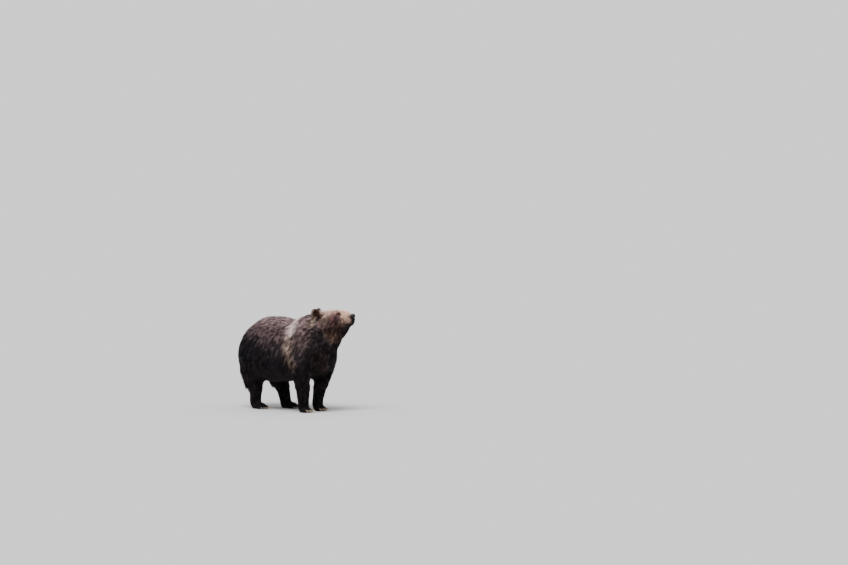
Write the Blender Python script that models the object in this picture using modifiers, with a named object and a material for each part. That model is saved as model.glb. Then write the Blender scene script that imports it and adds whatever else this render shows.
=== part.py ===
"""A grizzly bear, life size, standing on all fours with its head raised and turned to its left.

Metres, +Z up. The bear faces -Y and its left side is +X. The outer form, out to the tips of the coat,
is blended from a few anatomical masses, then parted with thin cuts into the pieces that a person
would name. Claws, eyes and nose are separate pieces that sit in sockets.
"""

import math
from collections import namedtuple

import bmesh
import bpy
import numpy as np
from mathutils import Matrix, Vector

# Driving dimensions.
BODY_LENGTH = 1.29  # rump to breast
WITHERS_HEIGHT = 1.06  # ground to the top of the hump
BARREL_WIDTH = 0.72
HEAD_TURN = math.radians(36)  # to the bear's left
HEAD_LIFT = math.radians(16)
SKULL_BASE = Vector((0.066, -0.438, 0.985))
RUMP_AT = 0.622  # how far the rump lies behind the body's middle

# The middle of each sole: its place to the left, its place ahead of the body's middle.
FORE_SOLES = {"left": (0.138, 0.350), "right": (-0.128, 0.385)}
ELBOW_AHEAD = {"left": 0.0, "right": 0.030}  # the foreleg that stands forward carries its elbow further forward too
HIND_SOLES = {"left": (0.150, -0.158), "right": (-0.150, -0.345)}

GAP = 0.0003  # between two pieces that meet
EYE_RADIUS = 0.0125
TRIANGLES = 2950  # of the blended form, before it is parted

# The coat's colours, linear.
DARK_BROWN = (0.045, 0.030, 0.022, 1)
MID_BROWN = (0.105, 0.066, 0.046, 1)
TAN = (0.300, 0.180, 0.110, 1)
BLACK_BROWN = (0.020, 0.015, 0.013, 1)
NOSE_BLACK = (0.010, 0.010, 0.011, 1)
CLAW_HORN = (0.090, 0.065, 0.042, 1)
EYE_BROWN = (0.030, 0.014, 0.006, 1)


# ---------------------------------------------------------------- scene and meshes


def clear_scene():
    for obj in list(bpy.data.objects):
        bpy.data.objects.remove(obj)


def new_collection(name):
    made = bpy.data.collections.new(name)
    bpy.context.scene.collection.children.link(made)
    return made


def material(name, colour, roughness):
    made = bpy.data.materials.new(name)
    made.use_nodes = True
    shader = made.node_tree.nodes["Principled BSDF"]
    shader.inputs["Base Color"].default_value = colour
    shader.inputs["Roughness"].default_value = roughness
    shader.inputs["Metallic"].default_value = 0.0
    return made


def object_of(name, bm, collection):
    """A new object that holds this bmesh."""
    mesh = bpy.data.meshes.new(name)
    bm.to_mesh(mesh)
    bm.free()
    obj = bpy.data.objects.new(name, mesh)
    collection.objects.link(obj)
    return obj


def applied(obj):
    """The object with its modifiers made part of its mesh."""
    graph = bpy.context.evaluated_depsgraph_get()
    mesh = bpy.data.meshes.new_from_object(obj.evaluated_get(graph))
    obj.modifiers.clear()
    obj.data = mesh
    return obj


def place(left, ahead, up):
    """A point given as the bear knows it: to its left, ahead of its middle, above the ground."""
    return Vector((left, -ahead, up))


# ---------------------------------------------------------------- forms

Station = namedtuple("Station", "along top bottom half_width widest")


def smooth_values(keys, values, at):
    """Values at the places `at`, on a curve through the keys whose slopes are its neighbours' chords."""
    keys, values = np.asarray(keys, float), np.asarray(values, float)
    slopes = np.gradient(values, keys, axis=0)
    i = np.clip(np.searchsorted(keys, at, side="right") - 1, 0, len(keys) - 2)
    span = keys[i + 1] - keys[i]
    t = (at - keys[i]) / span
    shape = (slice(None),) + (None,) * (values.ndim - 1)
    t, span = t[shape], span[shape]
    return (
        (1 + 2 * t) * (1 - t) ** 2 * values[i]
        + t * (1 - t) ** 2 * span * slopes[i]
        + t**2 * (3 - 2 * t) * values[i + 1]
        + t**2 * (t - 1) * span * slopes[i + 1]
    )


def loft(name, rings, collection):
    """A closed form through rings of points, each ring wound the same way."""
    bm = bmesh.new()
    rows = [[bm.verts.new(point) for point in ring] for ring in rings]
    count = len(rows[0])
    for near, far in zip(rows, rows[1:]):
        for k in range(count):
            after = (k + 1) % count
            bm.faces.new((near[k], near[after], far[after], far[k]))
    bm.faces.new(reversed(rows[0]))
    bm.faces.new(rows[-1])
    bmesh.ops.recalc_face_normals(bm, faces=bm.faces)
    return object_of(name, bm, collection)


def section_rings(stations, squareness, rings=36, points=32):
    """Rings across +X running (a trunk or a head): superellipses with unlike upper and lower halves."""
    table = np.array([tuple(s) for s in stations])
    at = np.linspace(table[0, 0], table[-1, 0], rings)
    along, top, bottom, half_width, widest = smooth_values(table[:, 0], table, at).T
    angle = np.linspace(0, 2 * math.pi, points, endpoint=False)
    across = np.sign(np.cos(angle)) * np.abs(np.cos(angle)) ** (2 / squareness)
    rise = np.sign(np.sin(angle)) * np.abs(np.sin(angle)) ** (2 / squareness)
    reach = np.where(rise > 0, (top - widest)[:, None], (widest - bottom)[:, None])
    y = half_width[:, None] * across
    z = widest[:, None] + reach * rise
    x = np.broadcast_to(along[:, None], y.shape)
    return np.stack([x, y, z], axis=-1)


def limb(name, joints, collection, rings=22, points=20):
    """A limb through joints of (place, half width sideways, half depth fore and aft)."""
    centres = np.array([tuple(j[0]) for j in joints])
    radii = np.array([j[1:] for j in joints])
    step = np.linalg.norm(np.diff(centres, axis=0), axis=1)
    keys = np.concatenate([[0], np.cumsum(step)])
    at = np.linspace(0, keys[-1], rings)
    line = smooth_values(keys, centres, at)
    wide, deep = smooth_values(keys, radii, at).T
    tangent = np.gradient(line, axis=0)
    tangent /= np.linalg.norm(tangent, axis=1, keepdims=True)
    side = np.array([1.0, 0, 0]) - tangent[:, :1] * tangent
    side /= np.linalg.norm(side, axis=1, keepdims=True)
    fore = np.cross(tangent, side)
    angle = np.linspace(0, 2 * math.pi, points, endpoint=False)
    ring = (
        line[:, None]
        + (wide[:, None] * np.cos(angle))[..., None] * side[:, None]
        + (deep[:, None] * np.sin(angle))[..., None] * fore[:, None]
    )
    return loft(name, ring, collection)


def mass(name, centre, radii, collection, turn=None, fineness=24):
    """An ellipsoid: a UV sphere brought to its radii, turned, and set at its centre."""
    bm = bmesh.new()
    bmesh.ops.create_uvsphere(bm, u_segments=fineness, v_segments=fineness // 2, radius=1)
    scale = Matrix.Diagonal((*radii, 1))
    turned = (turn or Matrix.Identity(3)).to_4x4()
    bm.transform(Matrix.Translation(centre) @ turned @ scale)
    return object_of(name, bm, collection)


def joined(name, forms, collection):
    """One object that holds the meshes of all these forms, which it replaces."""
    bm = bmesh.new()
    for form in forms:
        form.data.transform(form.matrix_world)
        bm.from_mesh(form.data)
        bpy.data.objects.remove(form)
    return object_of(name, bm, collection)


def blended(name, forms, collection, voxel, rounds):
    """Overlapping forms made one closed skin, with the creases between them softened."""
    obj = joined(name, forms, collection)
    skin = obj.modifiers.new("one skin", "REMESH")
    skin.mode = "VOXEL"
    skin.voxel_size = voxel
    soften = obj.modifiers.new("soften", "SMOOTH")
    soften.factor = 0.5
    soften.iterations = rounds
    return applied(obj)


# ---------------------------------------------------------------- the bear's masses


def trunk_form(collection):
    """The barrel of the body. Shares of the body's length, the withers' height and the barrel's width."""
    shares = [
        Station(0.000, 0.720, 0.500, 0.28, 0.62),  # buttocks
        Station(0.030, 0.805, 0.410, 0.57, 0.61),
        Station(0.090, 0.890, 0.345, 0.79, 0.60),  # tail head
        Station(0.160, 0.948, 0.322, 0.895, 0.59),
        Station(0.250, 0.986, 0.312, 0.965, 0.59),  # croup
        Station(0.360, 1.012, 0.308, 1.00, 0.58),
        Station(0.480, 0.998, 0.314, 1.00, 0.57),
        Station(0.580, 0.958, 0.332, 0.98, 0.57),  # saddle of the back
        Station(0.680, 0.962, 0.358, 0.93, 0.59),  # behind the hump
        Station(0.780, 0.990, 0.392, 0.87, 0.60),
        Station(0.870, 0.950, 0.420, 0.77, 0.61),  # shoulders
        Station(0.950, 0.860, 0.455, 0.60, 0.62),
        Station(1.000, 0.780, 0.500, 0.34, 0.63),  # breast
    ]
    stations = [
        Station(
            s.along * BODY_LENGTH - RUMP_AT,
            s.top * WITHERS_HEIGHT,
            s.bottom * WITHERS_HEIGHT,
            s.half_width * BARREL_WIDTH / 2,
            s.widest * WITHERS_HEIGHT,
        )
        for s in shares
    ]
    rings = section_rings(stations, squareness=2.25)
    ahead = Matrix.Rotation(-math.pi / 2, 3, "Z")  # +X running turned to -Y
    return loft("trunk_form", rings @ np.array(ahead).T, collection)


def neck_form(collection):
    """The neck, thick with coat, which rises from between the shoulders and bends to the left."""
    return limb(
        "neck_form",
        [
            (place(0.000, 0.140, 0.745), 0.255, 0.240),
            (place(0.005, 0.265, 0.805), 0.245, 0.262),
            (place(0.030, 0.365, 0.862), 0.226, 0.262),
            (place(0.072, 0.450, 0.925), 0.198, 0.235),
            (place(0.125, 0.525, 0.975), 0.160, 0.190),
        ],
        collection,
        points=28,
    )


def back_and_chest_forms(collection):
    return [
        mass("hump", place(0, 0.245, 0.925), (0.130, 0.190, 0.150), collection),
        mass("croup", place(0, -0.215, 0.900), (0.215, 0.290, 0.172), collection),
        mass("breast", place(0.02, 0.472, 0.650), (0.200, 0.165, 0.215), collection),
        limb(
            "throat_form",
            [
                (place(0.246, 0.686, 0.998), 0.036, 0.040),
                (place(0.212, 0.642, 0.948), 0.068, 0.074),
                (place(0.172, 0.592, 0.882), 0.104, 0.106),
                (place(0.122, 0.540, 0.795), 0.135, 0.130),
                (place(0.070, 0.474, 0.690), 0.165, 0.150),
            ],
            collection,
            rings=16,
        ),
        limb(
            "tail_form",
            [
                (place(0, 0.125 - RUMP_AT, 0.910), 0.045, 0.050),
                (place(0, 0.038 - RUMP_AT, 0.850), 0.042, 0.046),
                (place(0, -0.020 - RUMP_AT, 0.785), 0.037, 0.038),
                (place(0, -0.038 - RUMP_AT, 0.725), 0.026, 0.028),
            ],
            collection,
            rings=12,
            points=12,
        ),
    ]


def foreleg_forms(side, collection):
    """Shoulder blade, upper arm and forearm down to the wrist."""
    sign = 1 if side == "left" else -1
    out, ahead = FORE_SOLES[side]
    fore = ELBOW_AHEAD[side]
    lean = Matrix.Rotation(math.radians(14), 3, "X")
    return [
        mass(
            f"shoulder_{side}",
            place(sign * 0.205, 0.330, 0.690),
            (0.120, 0.180, 0.270),
            collection,
            turn=lean,
        ),
        limb(
            f"foreleg_{side}",
            [
                (place(sign * 0.210, 0.380, 0.640), 0.125, 0.170),
                (place(sign * 0.210, ahead + 0.024 + 0.9 * fore, 0.500), 0.116, 0.142),
                (place(sign * 0.196, ahead + 0.016 + fore, 0.390), 0.098, 0.110),
                (place(sign * 0.168, ahead + 0.006 + fore, 0.270), 0.080, 0.083 + 0.35 * fore),
                (place(sign * 0.148, ahead - 0.002 + 0.7 * fore, 0.170), 0.072, 0.073 + 0.25 * fore),
                (place(out, ahead - 0.006 + 0.3 * fore, 0.080), 0.066, 0.068),
                (place(out, ahead + 0.000, 0.030), 0.062, 0.064),
            ],
            collection,
        ),
    ]


def hindleg_forms(side, collection):
    """Thigh, shank and hock."""
    sign = 1 if side == "left" else -1
    out, ahead = HIND_SOLES[side]
    hip = -0.365
    back = 0.030 if side == "left" else 0.0  # the leg that stands forward shows the back of its thigh
    return [
        mass(
            f"thigh_{side}",
            place(sign * 0.195, hip + 0.20 * (ahead - hip), 0.600),
            (0.150, 0.215, 0.285),
            collection,
            turn=Matrix.Rotation(math.radians(-14), 3, "X"),
        ),
        limb(
            f"hindleg_{side}",
            [
                (place(sign * 0.195, hip - 0.01, 0.640), 0.135, 0.200),
                (place(sign * 0.200, 0.78 * hip + 0.22 * ahead - back, 0.480), 0.130, 0.175 + 0.4 * back),
                (place(sign * 0.190, 0.66 * hip + 0.34 * ahead - 1.3 * back, 0.370), 0.108, 0.132 + 0.5 * back),
                (place(sign * 0.174, 0.42 * hip + 0.58 * ahead - 0.006 - back, 0.270), 0.086, 0.100),
                (place(sign * 0.162, 0.22 * hip + 0.78 * ahead - 0.016 - 0.5 * back, 0.180), 0.073, 0.080),
                (place(out, ahead - 0.040, 0.095), 0.066, 0.076),
                (place(out, ahead - 0.036, 0.030), 0.060, 0.070),
            ],
            collection,
        ),
    ]


Paw = namedtuple("Paw", "length width height toe_reach toe_radius claw claw_drop")
FOREPAW = Paw(0.155, 0.150, 0.086, 0.074, 0.021, 0.066, 0.0215)
HINDPAW = Paw(0.235, 0.140, 0.080, 0.118, 0.020, 0.036, 0.0160)
TOES = 5


def paws():
    """Each paw as (name, kind, place of its sole, the way it points as a turn outwards)."""
    found = []
    for side, sign in (("left", 1), ("right", -1)):
        out, ahead = FORE_SOLES[side]
        found.append((f"forepaw_{side}", FOREPAW, out, ahead + 0.022, -sign * 4))
        out, ahead = HIND_SOLES[side]
        found.append((f"hindpaw_{side}", HINDPAW, out, ahead + 0.015, sign * 7))
    return found


def paw_frame(out, ahead, turn):
    """A frame on the ground under the paw, with +X to the bear's left and +Y the way the toes point."""
    back_to_front = Matrix.Rotation(math.radians(180 + turn), 4, "Z")
    mirror_free = Matrix.Translation(place(out, ahead, 0)) @ back_to_front
    return mirror_free


def toe_spots(paw):
    """(sideways, forwards, heading) of each toe's tip joint in the paw's frame: an arc across the front."""
    spots = []
    for k in range(TOES):
        share = (k - (TOES - 1) / 2) / ((TOES - 1) / 2)  # -1 to 1
        sideways = share * (paw.width / 2 - paw.toe_radius * 0.95)
        forwards = paw.toe_reach - 0.020 * share**2
        spots.append((sideways, forwards, math.radians(-9 * share)))
    return spots


def paw_forms(name, paw, frame, collection):
    """The pad and instep of a paw, and its toes."""
    pad_length = paw.length / 2
    forms = [
        mass(
            f"{name}_pad",
            frame @ Vector((0, 0.006, 0.022)),
            (paw.width / 2 - 0.004, pad_length, 0.036),
            collection,
            turn=frame.to_3x3(),
        ),
        mass(
            f"{name}_instep",
            frame @ Vector((0, paw.toe_reach - 0.080, 0.040)),
            (paw.width / 2 - 0.016, 0.078, paw.height - 0.040),
            collection,
            turn=frame.to_3x3(),
        ),
    ]
    for k, (sideways, forwards, heading) in enumerate(toe_spots(paw)):
        forms.append(
            mass(
                f"{name}_toe_{k}",
                frame @ Vector((sideways, forwards - 0.010, 0.020)),
                (paw.toe_radius, 0.036, 0.027),
                collection,
                turn=(frame @ Matrix.Rotation(heading, 4, "Z")).to_3x3(),
                fineness=16,
            )
        )
    return forms


# ---------------------------------------------------------------- the head


def head_frame():
    """The head's own frame: +X towards the nose, +Y to the bear's left, at the base of the skull."""
    turn = Matrix.Rotation(HEAD_TURN - math.pi / 2, 4, "Z")
    lift = Matrix.Rotation(-HEAD_LIFT, 4, "Y")
    return Matrix.Translation(SKULL_BASE) @ turn @ lift


def on_head(along, left, up):
    return head_frame() @ Vector((along, left, up))


EYE = Vector((0.277, 0.0610, 0.0735))
EAR_BASE = Vector((0.036, 0.106, 0.104))
EAR_TIPS = {1: (-0.34, 0.60, 0.74), -1: (-0.22, 0.30, 0.90)}  # the left ear is laid a little back and out
NOSE = Vector((0.412, 0.0, 0.003))
BROW_HEIGHT, CROWN_HEIGHT = 0.138, 0.140
# Where the head is parted from the neck: from behind the ears, down the cheek and along the jaw.
JAW_LINE = [(-0.015, 0.35), (0.110, -0.172), (0.215, -0.190), (0.262, -0.190), (0.330, -0.168), (0.6, -0.168), (0.6, 0.35)]


def skull_form(collection):
    """Skull and muzzle with their short coat, as a loft from the skull's base to the lips."""
    stations = [
        Station(-0.060, 0.075, -0.130, 0.112, -0.02),
        Station(0.000, 0.112, -0.140, 0.143, 0.00),  # skull base
        Station(0.075, CROWN_HEIGHT, -0.140, 0.160, 0.00),  # crown and cheeks
        Station(0.150, CROWN_HEIGHT, -0.150, 0.153, 0.00),
        Station(0.215, BROW_HEIGHT, -0.172, 0.122, 0.01),  # brow
        Station(0.262, 0.122, -0.168, 0.084, 0.00),  # stop, at the eyes
        Station(0.305, 0.102, -0.140, 0.065, 0.00),
        Station(0.350, 0.088, -0.105, 0.058, -0.01),  # muzzle
        Station(0.374, 0.070, -0.094, 0.054, -0.02),
        Station(0.392, 0.044, -0.085, 0.049, -0.02),
        Station(0.406, 0.030, -0.077, 0.045, -0.02),
        Station(0.420, 0.018, -0.066, 0.038, -0.02),
        Station(0.432, 0.002, -0.046, 0.020, -0.02),  # lips
    ]
    form = loft("skull_form", section_rings(stations, squareness=2.3, rings=44), collection)
    form.data.transform(head_frame())
    return form


def ear_turn(sign):
    """The ear's own axes: +X out of its opening, +Y across it, +Z to its tip."""
    tip = Vector(EAR_TIPS[sign])
    tip = Vector((tip.x, sign * tip.y, tip.z)).normalized()
    opening = Vector((0.60, sign * 0.80, 0.0))
    opening = (opening - opening.dot(tip) * tip).normalized()
    across = tip.cross(opening)
    local = Matrix((opening, across, tip)).transposed()
    return head_frame().to_3x3() @ local


def ear_form(sign, collection):
    """A round, thick ear: a flattened ball, hollowed in front."""
    centre = EAR_BASE * 1.0
    centre.y *= sign
    turn = ear_turn(sign)
    middle = head_frame() @ centre + turn @ Vector((0, 0, 0.042))
    ear = mass("ear_form", middle, (0.026, 0.064, 0.072), collection, turn=turn)
    hollow_at = middle + turn @ Vector((0.026, 0, 0.008))
    hollow = mass("ear_hollow", hollow_at, (0.026, 0.040, 0.046), collection, turn=turn)
    cut(ear, hollow)
    bpy.data.objects.remove(hollow)
    return ear


def face_forms(collection):
    """Jaw muscles, brow ridges and ears, on both sides, and the chin."""
    frame = head_frame()
    turn = frame.to_3x3()
    forms = [
        mass("chin", on_head(0.372, 0, -0.070), (0.044, 0.035, 0.029), collection, turn),
        mass("pate", on_head(0.120, 0, 0.088), (0.110, 0.092, 0.056), collection, turn),
    ]
    for sign in (1, -1):
        forms += [
            mass(
                f"cheek_{sign}",
                on_head(0.108, sign * 0.096, -0.035),
                (0.105, 0.072, 0.105),
                collection,
                turn,
            ),
            mass(
                f"brow_{sign}",
                on_head(0.242, sign * 0.056, 0.106),
                (0.036, 0.022, 0.018),
                collection,
                turn,
            ),
            ear_form(sign, collection),
        ]
    return forms


# ---------------------------------------------------------------- cutting


def boolean(obj, other, operation):
    change = obj.modifiers.new(operation, "BOOLEAN")
    change.operation = operation
    change.object = other
    change.solver = "EXACT"
    return applied(obj)


def cut(obj, cutter):
    return boolean(obj, cutter, "DIFFERENCE")


def box_form(name, low, high, collection, frame=None, grow=0.0):
    """A box between two corners of a frame, grown by a little on every side."""
    low = Vector(low) - Vector((grow,) * 3)
    high = Vector(high) + Vector((grow,) * 3)
    bm = bmesh.new()
    bmesh.ops.create_cube(bm, size=1)
    size = Matrix.Diagonal((*(high - low), 1))
    bm.transform((frame or Matrix.Identity(4)) @ Matrix.Translation((low + high) / 2) @ size)
    return object_of(name, bm, collection)


def grown_outline(outline, grow):
    """A convex or concave outline, wound anticlockwise, with every side moved out by the same amount."""
    points = np.asarray(outline, float)
    side = np.roll(points, -1, axis=0) - points
    side /= np.linalg.norm(side, axis=1, keepdims=True)
    out = np.stack([side[:, 1], -side[:, 0]], axis=1)
    corner = out + np.roll(out, 1, axis=0)
    return points + grow * 2 * corner / (corner**2).sum(axis=1, keepdims=True)


def profile_form(name, outline, half_width, frame, collection, grow=0.0):
    """A plate whose outline is given in a frame's XZ plane, and whose width runs both ways along Y."""
    grown = grown_outline(outline, grow)
    width = half_width + grow
    rings = [[frame @ Vector((x, y, z)) for x, z in grown] for y in (-width, width)]
    return loft(name, rings, collection)


def leg_root_form(name, sign, ahead, radii, collection, grow=0.0):
    """An upright oval prism that takes in a leg above the knee: its inner end leans out like a hip joint."""
    lean = math.radians(21)
    frame = Matrix.Translation(place(sign * 0.040, ahead, 0.300))
    frame = frame @ Matrix.Rotation(lean if sign > 0 else math.pi - lean, 4, "Y")
    upright = sign * (radii[1] - 0.270)
    ends = (-grow, 0.6)
    rings = [
        [
            frame @ Vector((x, (radii[0] + grow) * math.cos(w), upright + (radii[1] + grow) * math.sin(w)))
            for w in np.linspace(0, 2 * math.pi, 24, endpoint=False)
        ]
        for x in ends
    ]
    return loft(name, rings, collection)


def copy_of(obj, name, collection):
    made = bpy.data.objects.new(name, obj.data.copy())
    collection.objects.link(made)
    return made


def part_off(whole, name, shape, collection):
    """What is inside a shape, made by shape(growth), becomes a new object, a thin gap from what is left."""
    piece = copy_of(whole, name, collection)
    inner, outer = shape(0.0), shape(GAP)
    boolean(piece, inner, "INTERSECT")
    cut(whole, outer)
    for cutter in (inner, outer):
        bpy.data.objects.remove(cutter)
    return piece


# ---------------------------------------------------------------- claws, eyes and nose


def claw_rings(paw, frame, spot, grow, root=0.0):
    """Rings of a claw: an arc that leaves the toe almost level and bends down to a blunt point."""
    sideways, forwards, heading = spot
    bend = math.radians(52)
    radius = paw.claw / bend
    share = np.linspace(-root, 1, 5)
    angle = share * bend
    run = radius * np.sin(angle)
    drop = radius * (1 - np.cos(angle))
    girth = 0.0062 * np.clip(1 - share, 0, 1) ** 0.55 + 0.0012 + grow
    turn = frame @ Matrix.Translation((sideways, forwards + 0.012, 0)) @ Matrix.Rotation(heading, 4, "Z")
    top = paw.claw * math.sin(bend / 2) * 0.9 + 0.006
    height = max(paw.claw_drop, top * 0 + radius * (1 - math.cos(bend)) + 0.0045)
    around = np.linspace(0, 2 * math.pi, 6, endpoint=False)
    rings = []
    for a, x, z, g in zip(angle, run, drop, girth):
        ring = []
        for w in around:
            side = 0.78 * g * math.cos(w)
            out = g * math.sin(w)
            ring.append(turn @ Vector((side, x + out * math.sin(a), height - z + out * math.cos(a))))
        rings.append(ring)
    return rings


def add_claws(name, paw, frame, paw_piece, collection, cutters, horn):
    """The five claws of a paw, each in a socket in its toe."""
    for k, spot in enumerate(toe_spots(paw)):
        claw = loft(f"{name}_claw_{k + 1}", claw_rings(paw, frame, spot, 0.0), collection)
        claw.data.materials.append(horn)
        socket = loft("socket", claw_rings(paw, frame, spot, GAP, root=0.02), cutters)
        cut(paw_piece, socket)
        bpy.data.objects.remove(socket)


def add_eyes(head, collection, cutters, brown):
    """Two eyeballs in their sockets."""
    for side, sign in (("left", 1), ("right", -1)):
        at = on_head(EYE.x, sign * EYE.y, EYE.z)
        eye = mass(f"eye_{side}", at, (EYE_RADIUS,) * 3, collection, fineness=12)
        eye.data.materials.append(brown)
        socket = mass("socket", at, (EYE_RADIUS + GAP * 2,) * 3, cutters, fineness=12)
        cut(head, socket)
        bpy.data.objects.remove(socket)


def nose_form(name, grow, collection):
    """The bare nose: a rounded block, wider above than below."""
    stations = [
        Station(-0.024, 0.016, -0.014, 0.018, 0.004),
        Station(-0.012, 0.023, -0.022, 0.026, 0.005),
        Station(0.006, 0.024, -0.024, 0.028, 0.005),
        Station(0.018, 0.018, -0.020, 0.024, 0.004),
        Station(0.026, 0.008, -0.010, 0.013, 0.000),
    ]
    grown = [
        Station(s.along + (grow if s.along > 0 else -grow), s.top + grow, s.bottom - grow,
                s.half_width + grow, s.widest)
        for s in stations
    ]
    form = loft(name, section_rings(grown, squareness=2.6, rings=6, points=12), collection)
    form.data.transform(head_frame() @ Matrix.Translation(NOSE))
    return form


def add_nose(head, collection, cutters, black):
    nose = nose_form("nose", 0.0, collection)
    nose.data.materials.append(black)
    socket = nose_form("socket", GAP, cutters)
    cut(head, socket)
    bpy.data.objects.remove(socket)
    for sign in (1, -1):
        at = head_frame() @ (NOSE + Vector((0.022, sign * 0.0125, -0.001)))
        nostril = mass("nostril", at, (0.010, 0.0052, 0.0065), cutters, head_frame().to_3x3(), 8)
        cut(nose, nostril)
        bpy.data.objects.remove(nostril)


# ---------------------------------------------------------------- the whole


def whole_form(collection):
    """The bear in one closed skin with flat soles at ground level."""
    broad = [trunk_form(collection), neck_form(collection), *back_and_chest_forms(collection)]
    for side in ("left", "right"):
        broad += foreleg_forms(side, collection) + hindleg_forms(side, collection)
    broad_body = blended("broad_body", broad, collection, voxel=0.018, rounds=9)
    fine = [broad_body, skull_form(collection), *face_forms(collection)]
    for name, paw, out, ahead, turn in paws():
        fine += paw_forms(name, paw, paw_frame(out, ahead, turn), collection)
    whole = blended("whole", fine, collection, voxel=0.0085, rounds=7)
    thin = whole.modifiers.new("thin", "DECIMATE")
    thin.ratio = TRIANGLES / sum(len(f.vertices) - 2 for f in whole.data.polygons)
    thin.use_collapse_triangulate = True
    applied(whole)
    ground = box_form("ground", (-2, -2, -0.5), (2, 2, 0), collection)
    cut(whole, ground)
    bpy.data.objects.remove(ground)
    return whole


def body_pieces(whole, collection, cutters):
    """The named pieces of the body, parted from the whole one after another."""
    head = head_frame()
    pieces = {}

    def part(name, low, high, frame=None):
        def shape(grow):
            return box_form("cutter", low, high, cutters, frame, grow)

        pieces[name] = part_off(whole, name, shape, collection)

    def part_leg_root(name, sign, ahead, radii):
        def shape(grow):
            return leg_root_form("cutter", sign, ahead, radii, cutters, grow)

        pieces[name] = part_off(whole, name, shape, collection)

    for side, sign in (("left", 1), ("right", -1)):
        at = head @ Vector((EAR_BASE.x, sign * EAR_BASE.y, EAR_BASE.z))
        ear = Matrix.Translation(at) @ ear_turn(sign).to_4x4()
        part(f"ear_{side}", (-0.034, -0.080, 0.012), (0.06, 0.080, 0.14), ear)
    pieces["head"] = part_off(
        whole, "head", lambda grow: profile_form("cutter", JAW_LINE, 0.25, head, cutters, grow), collection
    )
    for side, sign in (("left", 1), ("right", -1)):
        inner, outer = sorted((sign * 0.001, sign * 0.5))
        part(f"forepaw_{side}", (inner, -0.60, -0.1), (outer, -0.10, 0.092))
        part(f"hindpaw_{side}", (inner, -0.08, -0.1), (outer, 0.80, 0.092))
        part(f"forearm_{side}", (inner, -0.60, 0.05), (outer, -0.19, 0.318))
        part(f"shank_{side}", (inner, 0.0, 0.05), (outer, 0.80, 0.285))
    for side, sign in (("left", 1), ("right", -1)):
        part_leg_root(f"upper_arm_{side}", sign, FORE_SOLES[side][1] - 0.004 + 0.9 * ELBOW_AHEAD[side], (0.170, 0.400))
        part_leg_root(f"thigh_{side}", sign, (HIND_SOLES[side][1] - 0.365) / 2, (0.225, 0.400))
    part("tail", (-0.056, RUMP_AT - 0.012, 0.64), (0.056, 0.90, 0.865))
    slope = Matrix.Translation(place(0.03, 0.42, 0.85)) @ Matrix.Rotation(HEAD_TURN * 0.6, 4, "Z")
    slope = slope @ Matrix.Rotation(math.radians(-48), 4, "X")
    part("neck", (-0.5, -0.6, -0.5), (0.5, -0.02, 0.6), slope)
    part("trunk_front", (-0.6, -0.9, 0), (0.6, -0.08, 1.3))
    part("trunk_middle", (-0.6, -0.2, 0), (0.6, 0.26, 1.3))
    whole.name = "trunk_rear"
    whole.data.name = "trunk_rear"
    pieces["trunk_rear"] = whole
    cutters.objects.unlink(whole)
    collection.objects.link(whole)
    return pieces


def centre_on_ground(collection):
    """Moves every piece so that the middle of the bear's outline on the ground is the origin."""
    corners = []
    for obj in collection.objects:
        places = np.empty(len(obj.data.vertices) * 3, np.float32)
        obj.data.vertices.foreach_get("co", places)
        corners.append(places.reshape(-1, 3))
    every = np.concatenate(corners)
    middle = (every.max(axis=0) + every.min(axis=0)) / 2
    shift = Matrix.Translation((-middle[0], -middle[1], -every[:, 2].min()))
    for obj in collection.objects:
        obj.data.transform(shift)
    print("moved by", tuple(round(float(x), 5) for x in shift.translation))


def main():
    clear_scene()
    bear = new_collection("grizzly_bear")
    cutters = new_collection("cutters")
    cutters.hide_render = True
    colours = {
        "coat_dark": material("coat_dark", DARK_BROWN, 0.8),
        "coat_mid": material("coat_mid", MID_BROWN, 0.8),
        "coat_tan": material("coat_tan", TAN, 0.8),
        "coat_black": material("coat_black", BLACK_BROWN, 0.8),
        "nose": material("nose_leather", NOSE_BLACK, 0.35),
        "claw": material("claw_horn", CLAW_HORN, 0.4),
        "eye": material("eye_brown", EYE_BROWN, 0.08),
    }
    whole = whole_form(cutters)
    pieces = body_pieces(whole, bear, cutters)
    for name, piece in pieces.items():
        if "paw" in name or "forearm" in name or "shank" in name:
            coat = "coat_black"
        elif name in ("head", "ear_left", "ear_right"):
            coat = "coat_tan"
        elif name in ("neck", "trunk_front"):
            coat = "coat_mid"
        else:
            coat = "coat_dark"
        piece.data.materials.clear()
        piece.data.materials.append(colours[coat])
    for name, paw, out, ahead, turn in paws():
        frame = paw_frame(out, ahead, turn)
        add_claws(name, paw, frame, pieces[name], bear, cutters, colours["claw"])
    add_eyes(pieces["head"], bear, cutters, colours["eye"])
    add_nose(pieces["head"], bear, cutters, colours["nose"])
    for obj in bear.objects:
        obj.data.shade_smooth()
        obj.data.set_sharp_from_angle(angle=math.radians(50))
    centre_on_ground(bear)


main()
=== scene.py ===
# %% [markdown]
# # A grizzly bear in its autumn coat
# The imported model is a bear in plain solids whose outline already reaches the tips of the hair.
# This script gives it its looks: one skin that lies a coat's depth inside that outline, tufts of
# hair that lie along the body out to it, and proper eyes, nose and claws. We begin by loading the
# solids, which are the fixed frame for everything else.

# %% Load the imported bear
import math

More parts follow.
